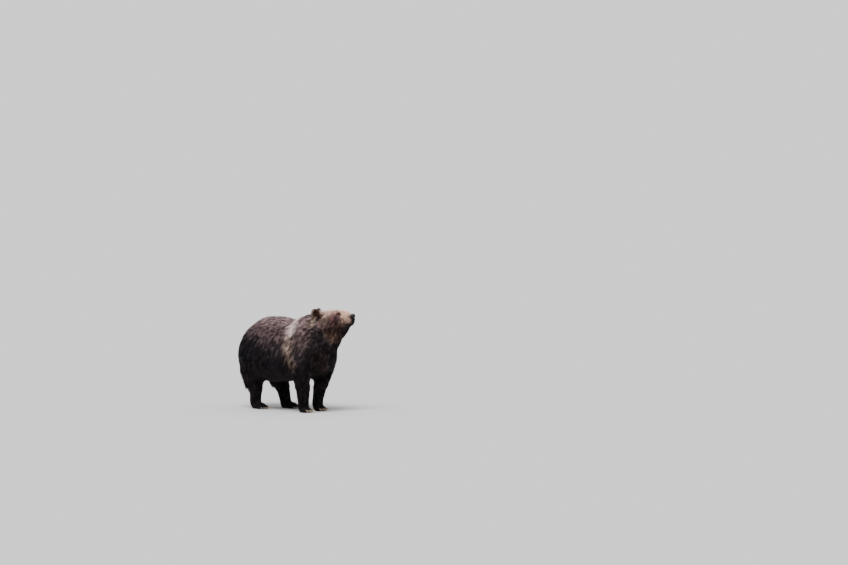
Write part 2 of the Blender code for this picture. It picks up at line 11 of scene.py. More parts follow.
import bmesh
import bpy
import numpy as np
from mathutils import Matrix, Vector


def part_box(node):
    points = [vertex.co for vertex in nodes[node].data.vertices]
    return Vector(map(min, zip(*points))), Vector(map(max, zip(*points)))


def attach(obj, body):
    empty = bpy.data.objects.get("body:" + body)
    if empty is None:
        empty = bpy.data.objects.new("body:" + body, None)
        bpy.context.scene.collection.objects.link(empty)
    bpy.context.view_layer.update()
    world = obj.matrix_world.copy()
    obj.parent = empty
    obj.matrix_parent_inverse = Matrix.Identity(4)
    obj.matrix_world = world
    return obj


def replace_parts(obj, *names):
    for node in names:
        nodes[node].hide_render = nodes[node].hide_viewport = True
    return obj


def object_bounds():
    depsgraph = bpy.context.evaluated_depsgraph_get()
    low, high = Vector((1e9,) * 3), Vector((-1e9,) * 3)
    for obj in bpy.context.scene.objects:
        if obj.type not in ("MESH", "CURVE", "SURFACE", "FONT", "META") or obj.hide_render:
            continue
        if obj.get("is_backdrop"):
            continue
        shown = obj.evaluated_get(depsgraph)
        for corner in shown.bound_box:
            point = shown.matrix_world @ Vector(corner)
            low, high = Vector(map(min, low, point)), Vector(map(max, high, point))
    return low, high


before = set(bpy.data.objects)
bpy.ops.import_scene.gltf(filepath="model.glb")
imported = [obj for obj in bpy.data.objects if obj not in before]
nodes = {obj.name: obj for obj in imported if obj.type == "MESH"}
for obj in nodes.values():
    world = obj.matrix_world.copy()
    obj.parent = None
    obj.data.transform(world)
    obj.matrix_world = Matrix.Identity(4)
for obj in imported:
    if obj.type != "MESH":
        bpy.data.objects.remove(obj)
cad_low, cad_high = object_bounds()
rng = np.random.default_rng(7)
print(f"{len(nodes)} solids, {cad_high.x - cad_low.x:.2f} x {cad_high.y - cad_low.y:.2f} x {cad_high.z:.2f} m")

# %% [markdown]
# Blender keeps a mesh as lists of points, edges and faces. A loop over them in Python is slow, so
# these helpers copy a whole list into a numpy array and back in one call.


# %% Meshes as arrays
def read(items, key, width, kind=np.float32):
    """One property of every item, as an array with a row for each."""
    flat = np.empty(len(items) * width, kind)
    items.foreach_get(key, flat)
    return flat.reshape(-1, width)


def points_of(mesh):
    return read(mesh.vertices, "co", 3).astype(float)


def normals_of(mesh):
    return read(mesh.vertex_normals, "vector", 3).astype(float)


def set_points(mesh, points):
    mesh.vertices.foreach_set("co", np.ascontiguousarray(points, np.float32).ravel())
    mesh.update()


def mesh_from(name, points, faces):
    """A mesh from an array of points and arrays of faces, each array holding faces of one size."""
    mesh = bpy.data.meshes.new(name)
    corners = np.concatenate([f.ravel() for f in faces])
    sizes = np.concatenate([np.full(len(f), f.shape[1]) for f in faces])
    mesh.vertices.add(len(points))
    mesh.loops.add(len(corners))
    mesh.polygons.add(len(sizes))
    mesh.loops.foreach_set("vertex_index", corners.astype(np.int32))
    mesh.polygons.foreach_set("loop_start", (np.cumsum(sizes) - sizes).astype(np.int32))
    mesh.polygons.foreach_set("use_smooth", np.ones(len(sizes), bool))
    set_points(mesh, points)
    mesh.validate()
    return mesh


def new_object(name, data):
    """An object in the scene, at the origin."""
    made = bpy.data.objects.new(name, data)
    bpy.context.scene.collection.objects.link(made)
    return made


def show(name, mesh, material):
    """A piece of the bear: an object at the origin that rides with the bear's one body."""
    piece = new_object(name, mesh)
    mesh.materials.clear()
    mesh.materials.append(material)
    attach(piece, "root")
    return piece


print("the head's solid has", len(points_of(nodes["head"].data)), "points in its loose triangles")

# %% [markdown]
# Small formulas that the whole script shares. A soft step turns a measure into a share from 0 to 1
# with no hard edge, which is how one marking or one length of hair passes into the next.


# %% Shared formulas
def soft(values, low, high):
    """0 below low, 1 above high, and the smooth step 3t^2 - 2t^3 between."""
    t = np.clip((values - low) / (high - low), 0, 1)
    return t * t * (3 - 2 * t)


def unit(vectors):
    """Each row at length one."""
    return vectors / np.maximum(np.linalg.norm(vectors, axis=-1, keepdims=True), 1e-9)


def size_of(vectors):
    """Each row's length."""
    return np.linalg.norm(vectors, axis=-1)


def dot(a, b):
    return (a * b).sum(axis=-1, keepdims=True)


def spot(points, centre, radius):
    """A round soft spot: e to the minus (distance over radius) squared."""
    return np.exp(-((points - centre) ** 2).sum(axis=1) / radius**2)


def mix(a, b, share):
    """a where the share is 0, b where it is 1."""
    share = np.reshape(share, (-1, 1))
    return a * (1 - share) + b * share


def along_path(points, path):
    """Each point's distance from a line through the path's points, and how far along it that is, 0 to 1."""
    path = np.asarray(path, float)
    best = np.full(len(points), np.inf)
    place = np.zeros(len(points))
    for k, (a, b) in enumerate(zip(path[:-1], path[1:])):
        t = np.clip((points - a) @ (b - a) / ((b - a) @ (b - a)), 0, 1)
        away = size_of(points - a - t[:, None] * (b - a))
        place = np.where(away < best, (k + t) / (len(path) - 1), place)
        best = np.minimum(best, away)
    return best, place


def stripe(points, path, radius):
    """A soft spot drawn along a path: e to the minus (distance from it over radius) squared."""
    return np.exp(-((along_path(points, path)[0] / radius) ** 2))


print("a quarter of the way up, a soft step is", soft(0.25, 0, 1).round(3))

# %% [markdown]
# The head is turned to the bear's left and lifted, so its features are easier to place on axes of
# its own: forward to the nose, left, and up through the crown. The eyeballs are already in the
# frame, and they tell where these axes start.

# %% The head's own axes
HEAD_TURN, HEAD_LIFT = math.radians(36), math.radians(16)
EYE_AT = np.array([0.277, 0.0610, 0.0735])


def middle(node):
    """The middle of a solid's box."""
    low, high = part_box(node)
    return (np.array(low) + np.array(high)) / 2


def bearing(turn, lift):
    """The direction turned by one angle from -y towards x, and lifted by the other from level."""
    return np.array([math.sin(turn) * math.cos(lift), -math.cos(turn) * math.cos(lift), math.sin(lift)])


forward = bearing(HEAD_TURN, HEAD_LIFT)
leftward = np.array([math.cos(HEAD_TURN), math.sin(HEAD_TURN), 0])
HEAD = np.stack([forward, leftward, np.cross(forward, leftward)])
head_start = (middle("eye_left") + middle("eye_right")) / 2 - np.array([EYE_AT[0], 0, EYE_AT[2]]) @ HEAD


def in_head(points):
    """Places on the head's axes: forward, left and up, in metres."""
    return (points - head_start) @ HEAD.T


def from_head(local):
    return np.asarray(local) @ HEAD + head_start


nose_tip = in_head(middle("nose")[None])[0]
print("the nose is", nose_tip.round(3), "on the head's axes")

# %% [markdown]
# ## The skin
# A live bear has one skin from nose to tail, while the frame has a solid for each part. Copies of
# the solids, a little swollen so that they overlap, are melted into one closed surface by a voxel
# remesh: Blender fills them with small cubes and wraps a new mesh round the result.

# %% Melt the solids into one body
VOXEL, SWELL, SAME_PLACE = 0.0115, 0.0006, 1e-5
flesh_names = [name for name in nodes if "claw" not in name]


def merged_copy(node):
    """The solid's points and triangles with its loose triangles joined at their corners."""
    merged = bmesh.new()
    merged.from_mesh(node.data)
    bmesh.ops.remove_doubles(merged, verts=merged.verts, dist=SAME_PLACE)
    mesh = bpy.data.meshes.new("merged")
    merged.to_mesh(mesh)
    merged.free()
    mesh.calc_loop_triangles()
    return mesh, points_of(mesh), read(mesh.loop_triangles, "vertices", 3, np.int32)


solid_points, solid_faces, marks, mark_owner = [], [], [], []
for number, name in enumerate(flesh_names):
    mesh, points, triangles = merged_copy(nodes[name])
    solid_faces.append(triangles + sum(map(len, solid_points)))
    solid_points.append(points + SWELL * normals_of(mesh))
    places = np.concatenate([points, points[triangles].mean(axis=1)])
    marks.append(places)
    mark_owner += [number] * len(places)
    bpy.data.meshes.remove(mesh)
marks, mark_owner = np.concatenate(marks), np.array(mark_owner)

body = new_object("body", mesh_from("body", np.concatenate(solid_points), solid_faces))
melt = body.modifiers.new("melt", "REMESH")
melt.mode = "VOXEL"
melt.voxel_size = VOXEL
ready = body.evaluated_get(bpy.context.evaluated_depsgraph_get())
skin_mesh = bpy.data.meshes.new_from_object(ready)
bpy.data.objects.remove(body)
print(len(skin_mesh.vertices), "points in the melted body")

# %% [markdown]
# Centimetre cubes are fine enough for a flank, but not for a face. The mesh is divided again
# where the detail is: once over the head, once more over the muzzle, and twice round each eye. After
# each division the new points are relaxed, which moves each one towards the average of its
# neighbours and rounds off the cubes' steps.


# %% Divide the face more finely
def edges_of(mesh):
    return read(mesh.edges, "vertices", 2, np.int32)


def relaxed(values, edges, rounds, share):
    """Each round moves every row by the given share towards the mean of its neighbours' rows."""
    ends = np.concatenate([edges, edges[:, ::-1]])
    degree = np.maximum(np.bincount(ends[:, 0], minlength=len(values)), 1)
    share = np.broadcast_to(np.reshape(share, (-1, 1)), (len(values), 1))
    for _ in range(rounds):
        columns = [np.bincount(ends[:, 0], v[ends[:, 1]], len(values)) for v in values.T]
        values = values + share * (np.stack(columns, axis=1) / degree[:, None] - values)
    return values


def divide(mesh, centre, radius):
    """Halves the edges within a ball and relaxes what it made."""
    fine = bmesh.new()
    fine.from_mesh(mesh)
    near = size_of(points_of(mesh) - centre) < radius
    chosen = [edge for edge in fine.edges if near[edge.verts[0].index] and near[edge.verts[1].index]]
    bmesh.ops.subdivide_edges(fine, edges=chosen, cuts=1, use_grid_fill=True)
    fine.to_mesh(mesh)
    fine.free()
    points = points_of(mesh)
    inner = 0.5 * (size_of(points - centre) < radius)
    set_points(mesh, relaxed(points, edges_of(mesh), 5, inner))


SIDES = {"left": 1, "right": -1}
eyes = {name: middle(f"eye_{name}") for name in SIDES}
divide(skin_mesh, from_head((0.14, 0, 0.01)), 0.33)
divide(skin_mesh, from_head((0.37, 0, -0.01)), 0.10)
for centre in eyes.values():
    divide(skin_mesh, centre, 0.042)
    divide(skin_mesh, centre, 0.027)
print(len(skin_mesh.vertices), "points after the face is divided")

# %% [markdown]
# Hair length, hair direction and smoothing all depend on the part of the body. Each skin point
# takes the region of the nearest solid, and the shares of the regions are then relaxed over the mesh,
# so that each region passes into the next over a few centimetres.

# %% Name the regions
REGIONS = {
    "head": ("head", "nose", "eye"),
    "ear": ("ear_",),
    "neck": ("neck",),
    "trunk": ("trunk",),
    "tail": ("tail",),
    "upper": ("upper_arm", "thigh"),
    "lower": ("forearm", "shank"),
    "paw": ("paw",),
}


def region_of(name):
    """The number of the region that has a word in the solid's name."""
    return next(k for k, words in enumerate(REGIONS.values()) if any(word in name for word in words))


def nearest(points, places, rows=1500):
    """The index of the place nearest each point: the least of |b|^2 - 2 a.b, some rows at a time."""
    squares = (places**2).sum(axis=1)
    parts = np.array_split(points, max(1, len(points) // rows))
    return np.concatenate([np.argmin(squares - 2 * part @ places.T, axis=1) for part in parts])


edges = edges_of(skin_mesh)
outline = points_of(skin_mesh)
owner = mark_owner[nearest(outline, marks)]
region = np.array([region_of(name) for name in flesh_names])[owner]
shares = relaxed(np.eye(len(REGIONS))[region], edges, 14, 0.7)
shares /= shares.sum(axis=1, keepdims=True)
print({name: int((region == k).sum()) for k, name in enumerate(REGIONS)})


def by_region(**values):
    """What the regions have, mixed for each skin point by their shares."""
    return shares @ np.array([values[region] for region in REGIONS])


def share_of(*names):
    """How much of each skin point belongs to these regions together."""
    return sum(shares[:, list(REGIONS).index(name)] for name in names)


# %% [markdown]
# The solids are faceted, and a coat of hair over facets would show them. The trunk is relaxed
# strongly and the face only a little, because relaxing also wears away what is small.

# %% Round off the facets
softness = by_region(head=0.16, ear=0.05, neck=0.6, trunk=0.7, tail=0.3, upper=0.6, lower=0.35, paw=0.15)
outline = relaxed(outline, edges, 22, softness)
set_points(skin_mesh, outline)
local = in_head(outline)
print("trunk softness", softness.max().round(2), "face softness", softness.min().round(2))

# %% [markdown]
# The depth of a grizzly's coat: two fingers or more on the back, flanks and neck, a few
# millimetres on the muzzle and toes. The table gives, for each region, how far the skin lies inside
# the outline, how long the tufts are and how wide. The face has corrections of its own: shortest
# round the eyes and on the muzzle, longest on the cheeks. Longer hair hangs under the belly and in
# a fringe behind the legs.

# %% The coat's depth, length and width
depth, length, width = by_region(
    head=(0.010, 0.020, 0.0023),
    ear=(0.0045, 0.013, 0.0021),
    neck=(0.026, 0.060, 0.0040),
    trunk=(0.029, 0.074, 0.0046),
    tail=(0.016, 0.062, 0.0044),
    upper=(0.022, 0.064, 0.0044),
    lower=(0.012, 0.036, 0.0034),
    paw=(0.005, 0.017, 0.0026),
).T
muzzle = soft(local[:, 0], 0.235, 0.335) * share_of("head")
cheeks = [spot(local, (0.075, side * 0.150, -0.060), 0.085) for side in SIDES.values()]
cheek = np.maximum(*cheeks) * share_of("head", "ear", "neck")
crown = soft(local[:, 0], 0.17, 0.02) * share_of("head")
eye_gap = np.min([size_of(outline - centre) for centre in eyes.values()], axis=0)
bare = 1 - soft(eye_gap, 0.014, 0.040)
for values, at_muzzle, at_cheek, at_crown, at_eye in (
    (depth, 0.0028, 0.014, 0.012, 0.002),
    (length, 0.0095, 0.036, 0.028, 0.007),
    (width, 0.0016, 0.0029, 0.0027, 0.0015),
):
    values += cheek * (at_cheek - values) * (1 - muzzle)
    values += crown * (at_crown - values) * (1 - cheek)
    values += muzzle * (at_muzzle - values)
    values += bare * (at_eye - values)

BELLY_EXTRA, FRINGE_EXTRA = 0.014, 0.024
facing, height = normals_of(skin_mesh), outline[:, 2]
behind_legs = soft(facing[:, 1], 0.10, 0.60) * soft(outline[:, 1], 0.2, 0.4) * share_of("upper", "lower")
fringe = behind_legs * soft(height, 0.20, 0.33) * (1 - soft(height, 0.40, 0.58))
length += BELLY_EXTRA * soft(-facing[:, 2], 0.2, 0.8) * share_of("trunk") + FRINGE_EXTRA * fringe
for label, values in (("depth", depth), ("length", length)):
    print(f"{label} {values.min() * 1000:.0f} to {values.max() * 1000:.0f} mm")

# %% [markdown]
# Now the skin moves in by that depth, along its own normals. The normals are relaxed first, because
# neighbouring points that move in different directions would crumple the surface.

# %% Move the skin inside the coat
FLOOR_GAP = 0.0012
inward = unit(relaxed(normals_of(skin_mesh), edges, 6, 0.5))
depth = relaxed(depth[:, None], edges, 4, 0.5)[:, 0]
points = outline - inward * depth[:, None]
points = relaxed(points, edges, 2, 0.4 * (1 - bare))
points[:, 2] = np.maximum(points[:, 2], FLOOR_GAP)
local = in_head(points)
print(f"the skin lies {depth.mean() * 1000:.0f} mm inside the outline on average")

# %% [markdown]
# ## Shaping the face
# A bear's face is read from a few forms: ridges over the eyes, a hollow where the muzzle meets the
# cheek bone, full whisker pads, and a mouth line that runs back under the eye. Each is a small soft
# push along the skin's normal. The creases are the same push inwards along a line.

# %% Ridges, hollows and folds
MOUTH = [
    (0.418, 0.000, -0.056), (0.408, 0.026, -0.058), (0.380, 0.050, -0.064),
    (0.340, 0.058, -0.069), (0.296, 0.065, -0.062), (0.272, 0.074, -0.046),
]
PAIRED_FORMS = [  # height, place and radius: a hollow's height is negative
    (0.0055, (0.248, 0.058, 0.104), 0.022),  # the ridge over the eye
    (0.0040, (0.222, 0.098, 0.030), 0.034),  # the cheek bone
    (0.0045, (0.380, 0.045, -0.030), 0.026),  # the whisker pad
    (0.0025, (0.330, 0.055, -0.038), 0.030),  # the lip behind it
    (-0.0055, (0.300, 0.053, 0.050), 0.024),  # the hollow before the eye
    (-0.0045, (0.348, 0.048, 0.026), 0.026),  # the side of the muzzle's bridge
]
PAIRED_CREASES = [  # depth, half width and path
    (0.0100, 0.0040, MOUTH),
    (0.0030, 0.0060, [(0.260, 0.080, -0.032), (0.250, 0.088, -0.064)]),
    (0.0024, 0.0035, [(0.240, 0.082, 0.046), (0.262, 0.080, 0.040), (0.292, 0.064, 0.046)]),
]
SINGLE_FORMS = [
    (0.021, (0.268, 0, -0.172), 0.095),  # the throat
    (0.024, (0.060, 0, 0.118), 0.050),  # the crown between the ears
    (-0.003, (0.046, -0.110, 0.180), 0.030),  # the front corner of the right ear
]
FURROW = [(0.170, 0, 0.140), (0.255, 0, 0.125)]

turned = in_head(inward + head_start)
swell = np.zeros(len(points))
for side in SIDES.values():
    for push, place, radius in PAIRED_FORMS:
        swell += push * spot(local, np.multiply(place, (1, side, 1)), radius)
    for cut, half_width, path in PAIRED_CREASES:
        swell -= cut * stripe(local, np.multiply(path, (1, side, 1)), half_width)
swell -= 0.0030 * stripe(local, FURROW, 0.010)
for push, place, radius in SINGLE_FORMS:
    swell += push * spot(local, place, radius)
local = local + turned * swell[:, None]
print(f"the face moved by {abs(swell).max() * 1000:.1f} mm at most")

# %% [markdown]
# A bear's muzzle is narrower along its top than at the lips. Its end is pressed flat where the nose
# pad sits, so that the pad stands on it.

# %% Narrow the muzzle and seat the nose
SEAT = (0.034, 0.031, 0.024)  # half its width and height, and how far it lies behind the nose's middle
local[:, 1] *= 1 - 0.24 * soft(local[:, 0], 0.310, 0.415) * soft(local[:, 2], -0.075, 0.000)
seat_disc = np.sqrt((local[:, 1] / SEAT[0]) ** 2 + ((local[:, 2] - nose_tip[2]) / SEAT[1]) ** 2)
pressed = (1 - soft(seat_disc, 0.45, 1.0)) * np.maximum(local[:, 0] - nose_tip[0] + SEAT[2], 0)
local[:, 0] -= pressed
print(f"the end of the muzzle is pressed back by up to {pressed.max() * 1000:.0f} mm")

# %% [markdown]
# The ears are round and thick, and furry inside. Seen along its own opening, an ear is a disc: the
# points inside the disc are pushed back into a bowl, which leaves a rolled rim round it.

# %% Hollow the ears
EAR_BASE, EAR_OPENING = np.array([0.036, 0.106, 0.104]), np.array([0.60, 0.80, 0.0])
# Both tips are given as if on the left. The left ear is laid back.
EAR_TIPS = {1: unit(np.array([-0.34, 0.60, 0.74])), -1: unit(np.array([-0.22, 0.30, 0.90]))}
BOWL_DEPTH, BOWL_CROWN = 0.012, 0.010
for side in SIDES.values():
    tip = EAR_TIPS[side] * (1, side, 1)
    opening = EAR_OPENING * (1, side, 1)
    opening = unit(opening - opening @ tip * tip)
    centre = EAR_BASE * (1, side, 1) + 0.046 * tip
    out, over, up = ((local - centre) @ axis for axis in (opening, np.cross(tip, opening), tip))
    disc = np.sqrt((over / 0.050) ** 2 + ((up - 0.002) / 0.054) ** 2)
    bowl = (1 - soft(disc, 0.25, 1.0)) * soft(out, -0.010, 0.006)
    target = BOWL_CROWN * disc**2 - BOWL_DEPTH
    local = local + (bowl * np.minimum(target - out, 0))[:, None] * opening
print("the ears' bowls are open")

# %% [markdown]
# Eyelids make an eye look alive. Round each eyeball the skin is drawn onto a slightly larger ball,
# which gives the lids their curve. Inside an almond-shaped opening it is drawn behind the eyeball,
# so the ball shows there and the step between the two is the lid's edge.

# %% Eyelids
EYE_RADIUS = (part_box("eye_left")[1].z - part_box("eye_left")[0].z) / 2
LID, SLIT_DEPTH, ALMOND, EYELINER = 0.0014, 0.0022, (0.0112, 0.0064), 0.0030
eye_axes = {}
lid_edge = np.zeros(len(local))
for name, side in SIDES.items():
    out = unit(np.array([0.60, side * 0.78, 0.16]))
    front = np.array([1.0, 0, -0.30])
    front = unit(front - front @ out * out)
    over = np.cross(front, out) * -side
    eye_axes[name] = np.stack([out, front, over])
    ball = local - EYE_AT * (1, side, 1)
    w, u, v = ball @ out, ball @ front, ball @ over
    away = np.sqrt(u**2 + v**2)
    near_ball = (1 - soft(away, 0.0095, 0.024)) * soft(w, -0.012, -0.002) * (size_of(ball) < 0.04)
    lid_height = np.sqrt(np.maximum((EYE_RADIUS + LID) ** 2 - away**2, 1e-5))
    behind = np.sqrt(np.maximum((EYE_RADIUS - SLIT_DEPTH) ** 2 - away**2, 1e-6))
    half = ALMOND[1] * (1 - (u / ALMOND[0]) ** 2)
    is_open = soft(half - abs(v + 0.0004), -0.0007, 0.0007) * (abs(u) < ALMOND[0]) * (w > 0)
    wanted = lid_height * (1 - is_open) + behind * is_open
    share = np.maximum(near_ball, is_open)
    local = local + (share * (wanted - w))[:, None] * out
    at_edge = soft(half + EYELINER - abs(v), -0.001, 0.001) * (abs(u) < 0.0145) * (away < 0.02) * (w > 0)
    lid_edge = np.maximum(lid_edge, at_edge)
points = from_head(local)
set_points(skin_mesh, points)
across, tall = (2000 * np.array(ALMOND)).round(1)
print(f"eyeballs of {EYE_RADIUS * 2000:.0f} mm, almond openings {across} by {tall} mm")

# %% [markdown]
# ## Which way the hair lies
# Hair grows backwards from the nose, up to the ear tips, down and back over the shoulders and
# flanks, and down the legs. Each region gets a simple direction, the shares mix them, and the
# result is laid flat on the skin and relaxed, like combing.

# %% Comb the coat
skin_normals = normals_of(skin_mesh)
x, (ahead, left, up) = points[:, 0], local.T
parting = 0.60 * np.sign(x) * soft(abs(x), 0.02, 0.12) * soft(skin_normals[:, 2], 0.1, 0.8)
lift = 0.5 * soft(ahead, 0.22, 0.10) * soft(up, 0.04, 0.11) - 0.9 * soft(abs(left), 0.05, 0.16)
ear_tips = np.where(left[:, None] > 0, EAR_TIPS[1], EAR_TIPS[-1] * (1, -1, 1))
comb = {
    "head": np.stack([-np.ones_like(x), 0.25 * left / 0.15, lift], axis=1) @ HEAD,
    "ear": (ear_tips + (-0.50, 0, -0.10)) @ HEAD,
    "neck": 0.75 * unit(points - from_head((0.16, 0, 0.02))) + (0, 0.25, -0.70),
    "trunk": np.stack([parting, np.full_like(x, 0.45), np.full_like(x, -0.85)], axis=1),
    "tail": np.array([0, 0.35, -1.0]),
    "upper": np.array([0, 0.38, -1.0]),
    "lower": np.array([0, 0.16, -1.0]),
    "paw": np.array([0, -0.80, -0.45]),
}
flow = sum(shares[:, k, None] * unit(comb[region]) for k, region in enumerate(REGIONS))


def laid_flat(vectors, normals):
    """The part of each vector that lies in the surface, at length one."""
    return unit(vectors - dot(vectors, normals) * normals)


for _ in range(4):
    flow = laid_flat(relaxed(laid_flat(flow, skin_normals), edges, 3, 0.6), skin_normals)
print("mean direction of the hair", flow.mean(axis=0).round(2))

# %% [markdown]
# ## Markings
# Colours are given as a screen shows them and turned into the linear light that shaders use. An
# autumn grizzly is near black on the legs, breast and belly, grey-brown on the flanks, and paler
# the higher the hair grows, with a blond band behind each shoulder, a pale brow and muzzle, russet
# cheeks and dark ears. Light and shade are painted into some marks as well: hair that faces up is
# painted lighter, the muzzle's top carries a painted highlight, and the neck, the chin and the left
# ear get painted shade. The markings are formulas of place, so skin and tufts share them.


# %% The colours of the coat
def as_light(*screen):
    """Screen values from 0 to 255 as linear light: the standard curve, (v + 0.055) / 1.055 to the power 2.4."""
    v = np.array(screen) / 255
    return np.where(v < 0.04045, v / 12.92, ((v + 0.055) / 1.055) ** 2.4)


BLACK_BROWN, BREAST, SHOULDER = as_light(23, 18, 21), as_light(46, 33, 27), as_light(106, 88, 85)
BROW, TEMPLE, CHEEK, JOWL = as_light((208, 172, 160), (104, 86, 79), (97, 66, 65), (46, 31, 29))
# The chin's tone is a painted shade under the jaw.
# The muzzle top's tone holds a painted highlight from above, over the muzzle's real pale tan.
MUZZLE_TOP_PAINTED_LIGHT, MUZZLE_SIDE, CHIN_PAINTED_SHADE = as_light((250, 204, 178), (148, 122, 109), (34, 31, 34))
EYE_PATCH, MAUVE, THROAT, NAPE = as_light((66, 42, 43), (80, 62, 68), (96, 74, 61), (192, 168, 150))
EAR_DARK, EAR_RIM, LEATHER = as_light((44, 25, 20), (176, 148, 132), (20, 19, 24))
LID_TONE, GRIZZLE = as_light((22, 19, 20), (214, 194, 178))

BACK_STEPS = [0.0, 0.25, 0.50, 0.76, 1.0]
BACK_TONES = as_light((24, 21, 26), (43, 37, 41), (68, 55, 59), (85, 67, 71), (103, 84, 86))
DARK_EDGE = np.transpose(  # the place from nose to tail, and the height of the edge there
    [(-0.66, 0.99), (-0.60, 0.98), (-0.56, 0.96), (-0.53, 0.90), (-0.50, 0.76), (-0.46, 0.56)]
    + [(-0.40, 0.50), (-0.24, 0.50), (-0.05, 0.58), (0.15, 0.63), (0.32, 0.73), (0.65, 0.81)]
)
BAND = [(0.05, -0.15, 1.05), (0.164, -0.19, 0.99), (0.25, -0.24, 0.92), (0.30, -0.24, 0.83)]
BAND += [(0.32, -0.265, 0.72), (0.33, -0.29, 0.63), (0.33, -0.34, 0.52)]
BAND_TONES = as_light((250, 226, 220), (255, 236, 230), (190, 164, 150), (102, 84, 73), (130, 108, 94))
# NECK_SHADE and SHADE: a painted shade down the side of the neck, below the head.
NECK_SHADE, SHADE = [(0.095, -0.475, 0.975), (0.105, -0.500, 0.930), (0.110, -0.550, 0.860)], as_light(27, 24, 28)
print(f"the blond band begins at {BAND_TONES[0].round(2)} in linear light")


def steps_of(values, steps, tones):
    """A colour for each value, found between the two nearest steps."""
    return np.stack([np.interp(values, steps, tones[:, k]) for k in range(3)], axis=1)


def laid_on(colour, *patches):
    """The colour with soft patches laid over it in order, each a tone and how much of it shows."""
    for tone, share in patches:
        colour = mix(colour, tone, share)
    return colour


# %% Markings of the body
def body_marks(points, normals):
    """The coat on trunk, legs and neck: paler with height and painted lighter where it faces up, with a band,
    patches and a painted neck shade over it.
    """
    x, y, z = points.T
    edge = np.interp(y, *DARK_EDGE)
    # Hair that faces up is painted lighter. This is painted light from above, on top of the real paling with
    # height.
    height = (z - edge) / (1.07 - edge) + 0.10 * np.clip(normals[:, 2], -1, 1)
    mirrored = np.stack([abs(x), y, z], axis=1)
    distance, place = along_path(mirrored, BAND)
    band = np.exp(-((distance / 0.056) ** 2)) * (1 - 0.40 * soft(place, 0.45, 1.0))
    return laid_on(
        steps_of(height, BACK_STEPS, BACK_TONES),
        (steps_of(place, np.linspace(0, 1, len(BAND_TONES)), BAND_TONES), 0.92 * band),
        (SHOULDER, 0.5 * spot(mirrored, (0.227, -0.400, 0.870), 0.110)),
        # A painted shade down the side of the neck, below the head.
        (SHADE, 0.85 * stripe(mirrored, NECK_SHADE, 0.065)),
        (BLACK_BROWN, 1 - soft(z, 0.40, 0.60)),
        (BREAST, 0.55 * spot(points, (-0.08, -0.56, 0.62), 0.15)),
    )


print("the top of the back is", body_marks(np.array([[0, 0, 1.0]]), np.array([[0, 0, 1.0]]))[0].round(3))


# %% Markings of the head
def head_marks(colour, local):
    """The face, ears, nape and throat, each a soft patch on the head's axes."""
    ahead, left, up = local.T
    mirrored = np.stack([ahead, abs(left), up], axis=1)
    head = 1 - soft(size_of(local - (0.16, 0, 0.0)), 0.20, 0.30)
    face = soft(ahead, -0.02, 0.12) * head
    mouth = np.interp(ahead, [0.240, 0.296, 0.340, 0.380, 0.418], [-0.052, -0.062, -0.069, -0.064, -0.056])
    tip = np.where(left[:, None] > 0, EAR_TIPS[1], EAR_TIPS[-1])
    on_ear = spot(mirrored - 0.043 * tip, EAR_BASE, 0.066)
    from_ear = mirrored - EAR_BASE
    rim = soft(0.9 * dot(from_ear, tip)[:, 0] - 0.8 * from_ear[:, 0], 0.086, 0.112)
    lips = soft(ahead + 0.25 * (up + 0.05), 0.380, 0.412) * (1 - soft(up, 0.010, 0.024))
    return laid_on(
        colour,
        (JOWL, face * soft(up, -0.16, -0.08)),
        (mix(TEMPLE, CHEEK, soft(ahead, 0.12, 0.20)), face * soft(up, -0.085, 0.055)),
        (BROW, face * soft(up, 0.040, 0.125)),
        # The muzzle is pale tan, and its top is painted lighter than its sides: a painted highlight from above.
        (MUZZLE_SIDE, soft(ahead, 0.222, 0.330) * head * soft(up, -0.100, -0.020)),
        (MUZZLE_TOP_PAINTED_LIGHT, soft(ahead, 0.235, 0.335) * head * soft(up, -0.010, 0.055)),
        (EYE_PATCH, np.minimum(1.4 * spot(mirrored, EYE_AT + (-0.004, 0.004, -0.008), 0.028), 0.95)),
        (EYE_PATCH, 0.6 * spot(mirrored, (0.228, 0.094, 0.040), 0.036)),
        (MAUVE, 0.85 * spot(mirrored, (0.250, 0.088, 0.016), 0.036)),
        # Below the mouth line the jaw is painted near black: painted shade under the jaw.
        (CHIN_PAINTED_SHADE, soft(ahead, 0.27, 0.37) * head * (1 - soft(up - mouth, -0.008, 0.004))),
        (THROAT, 0.48 * spot(mirrored, (0.125, 0.110, -0.150), 0.080)),
        (THROAT, 0.85 * spot(mirrored, (0.166, 0.066, -0.167), 0.054)),
        (NAPE, 0.9 * stripe(mirrored, [(0.012, 0.131, 0.125), (-0.050, 0.131, 0.045)], 0.032)),
        (EAR_DARK, 0.95 * spot(mirrored, (0.056, 0.124, 0.094), 0.040)),
        (EAR_DARK, 0.95 * spot(mirrored, (0.080, 0.122, 0.114), 0.032)),
        (EAR_DARK, np.clip(1.5 * on_ear - 0.2, 0, 1)),
        # The left ear's pale rim is kept faint: painted shade over the left ear.
        (EAR_RIM, rim * on_ear * np.where(left < 0, 0.95, 0.30)),
        (LEATHER, stripe(mirrored, MOUTH, 0.0070)),
        (LEATHER, np.maximum(lips, np.minimum(1.6 * spot(mirrored, nose_tip, 0.024), 1))),
    )


def markings(points, normals):
    """The coat's colour at any place: the body's marks with the head's over them."""
    return head_marks(body_marks(points, normals), in_head(points))


print("the tip of the muzzle is", markings(from_head([nose_tip]), forward[None])[0].round(3))

# %% Tone the skin
# The skin is the coat's markings darkened, which is painted shade under the hair; the lid rims are the eyes' own
# dark skin.
SHADE_UNDER_HAIR = 0.55
skin_tone = mix(SHADE_UNDER_HAIR * markings(points, skin_normals), LID_TONE, lid_edge)
print("skin tones from", skin_tone.min(axis=0).round(3), "to", skin_tone.max(axis=0).round(3))

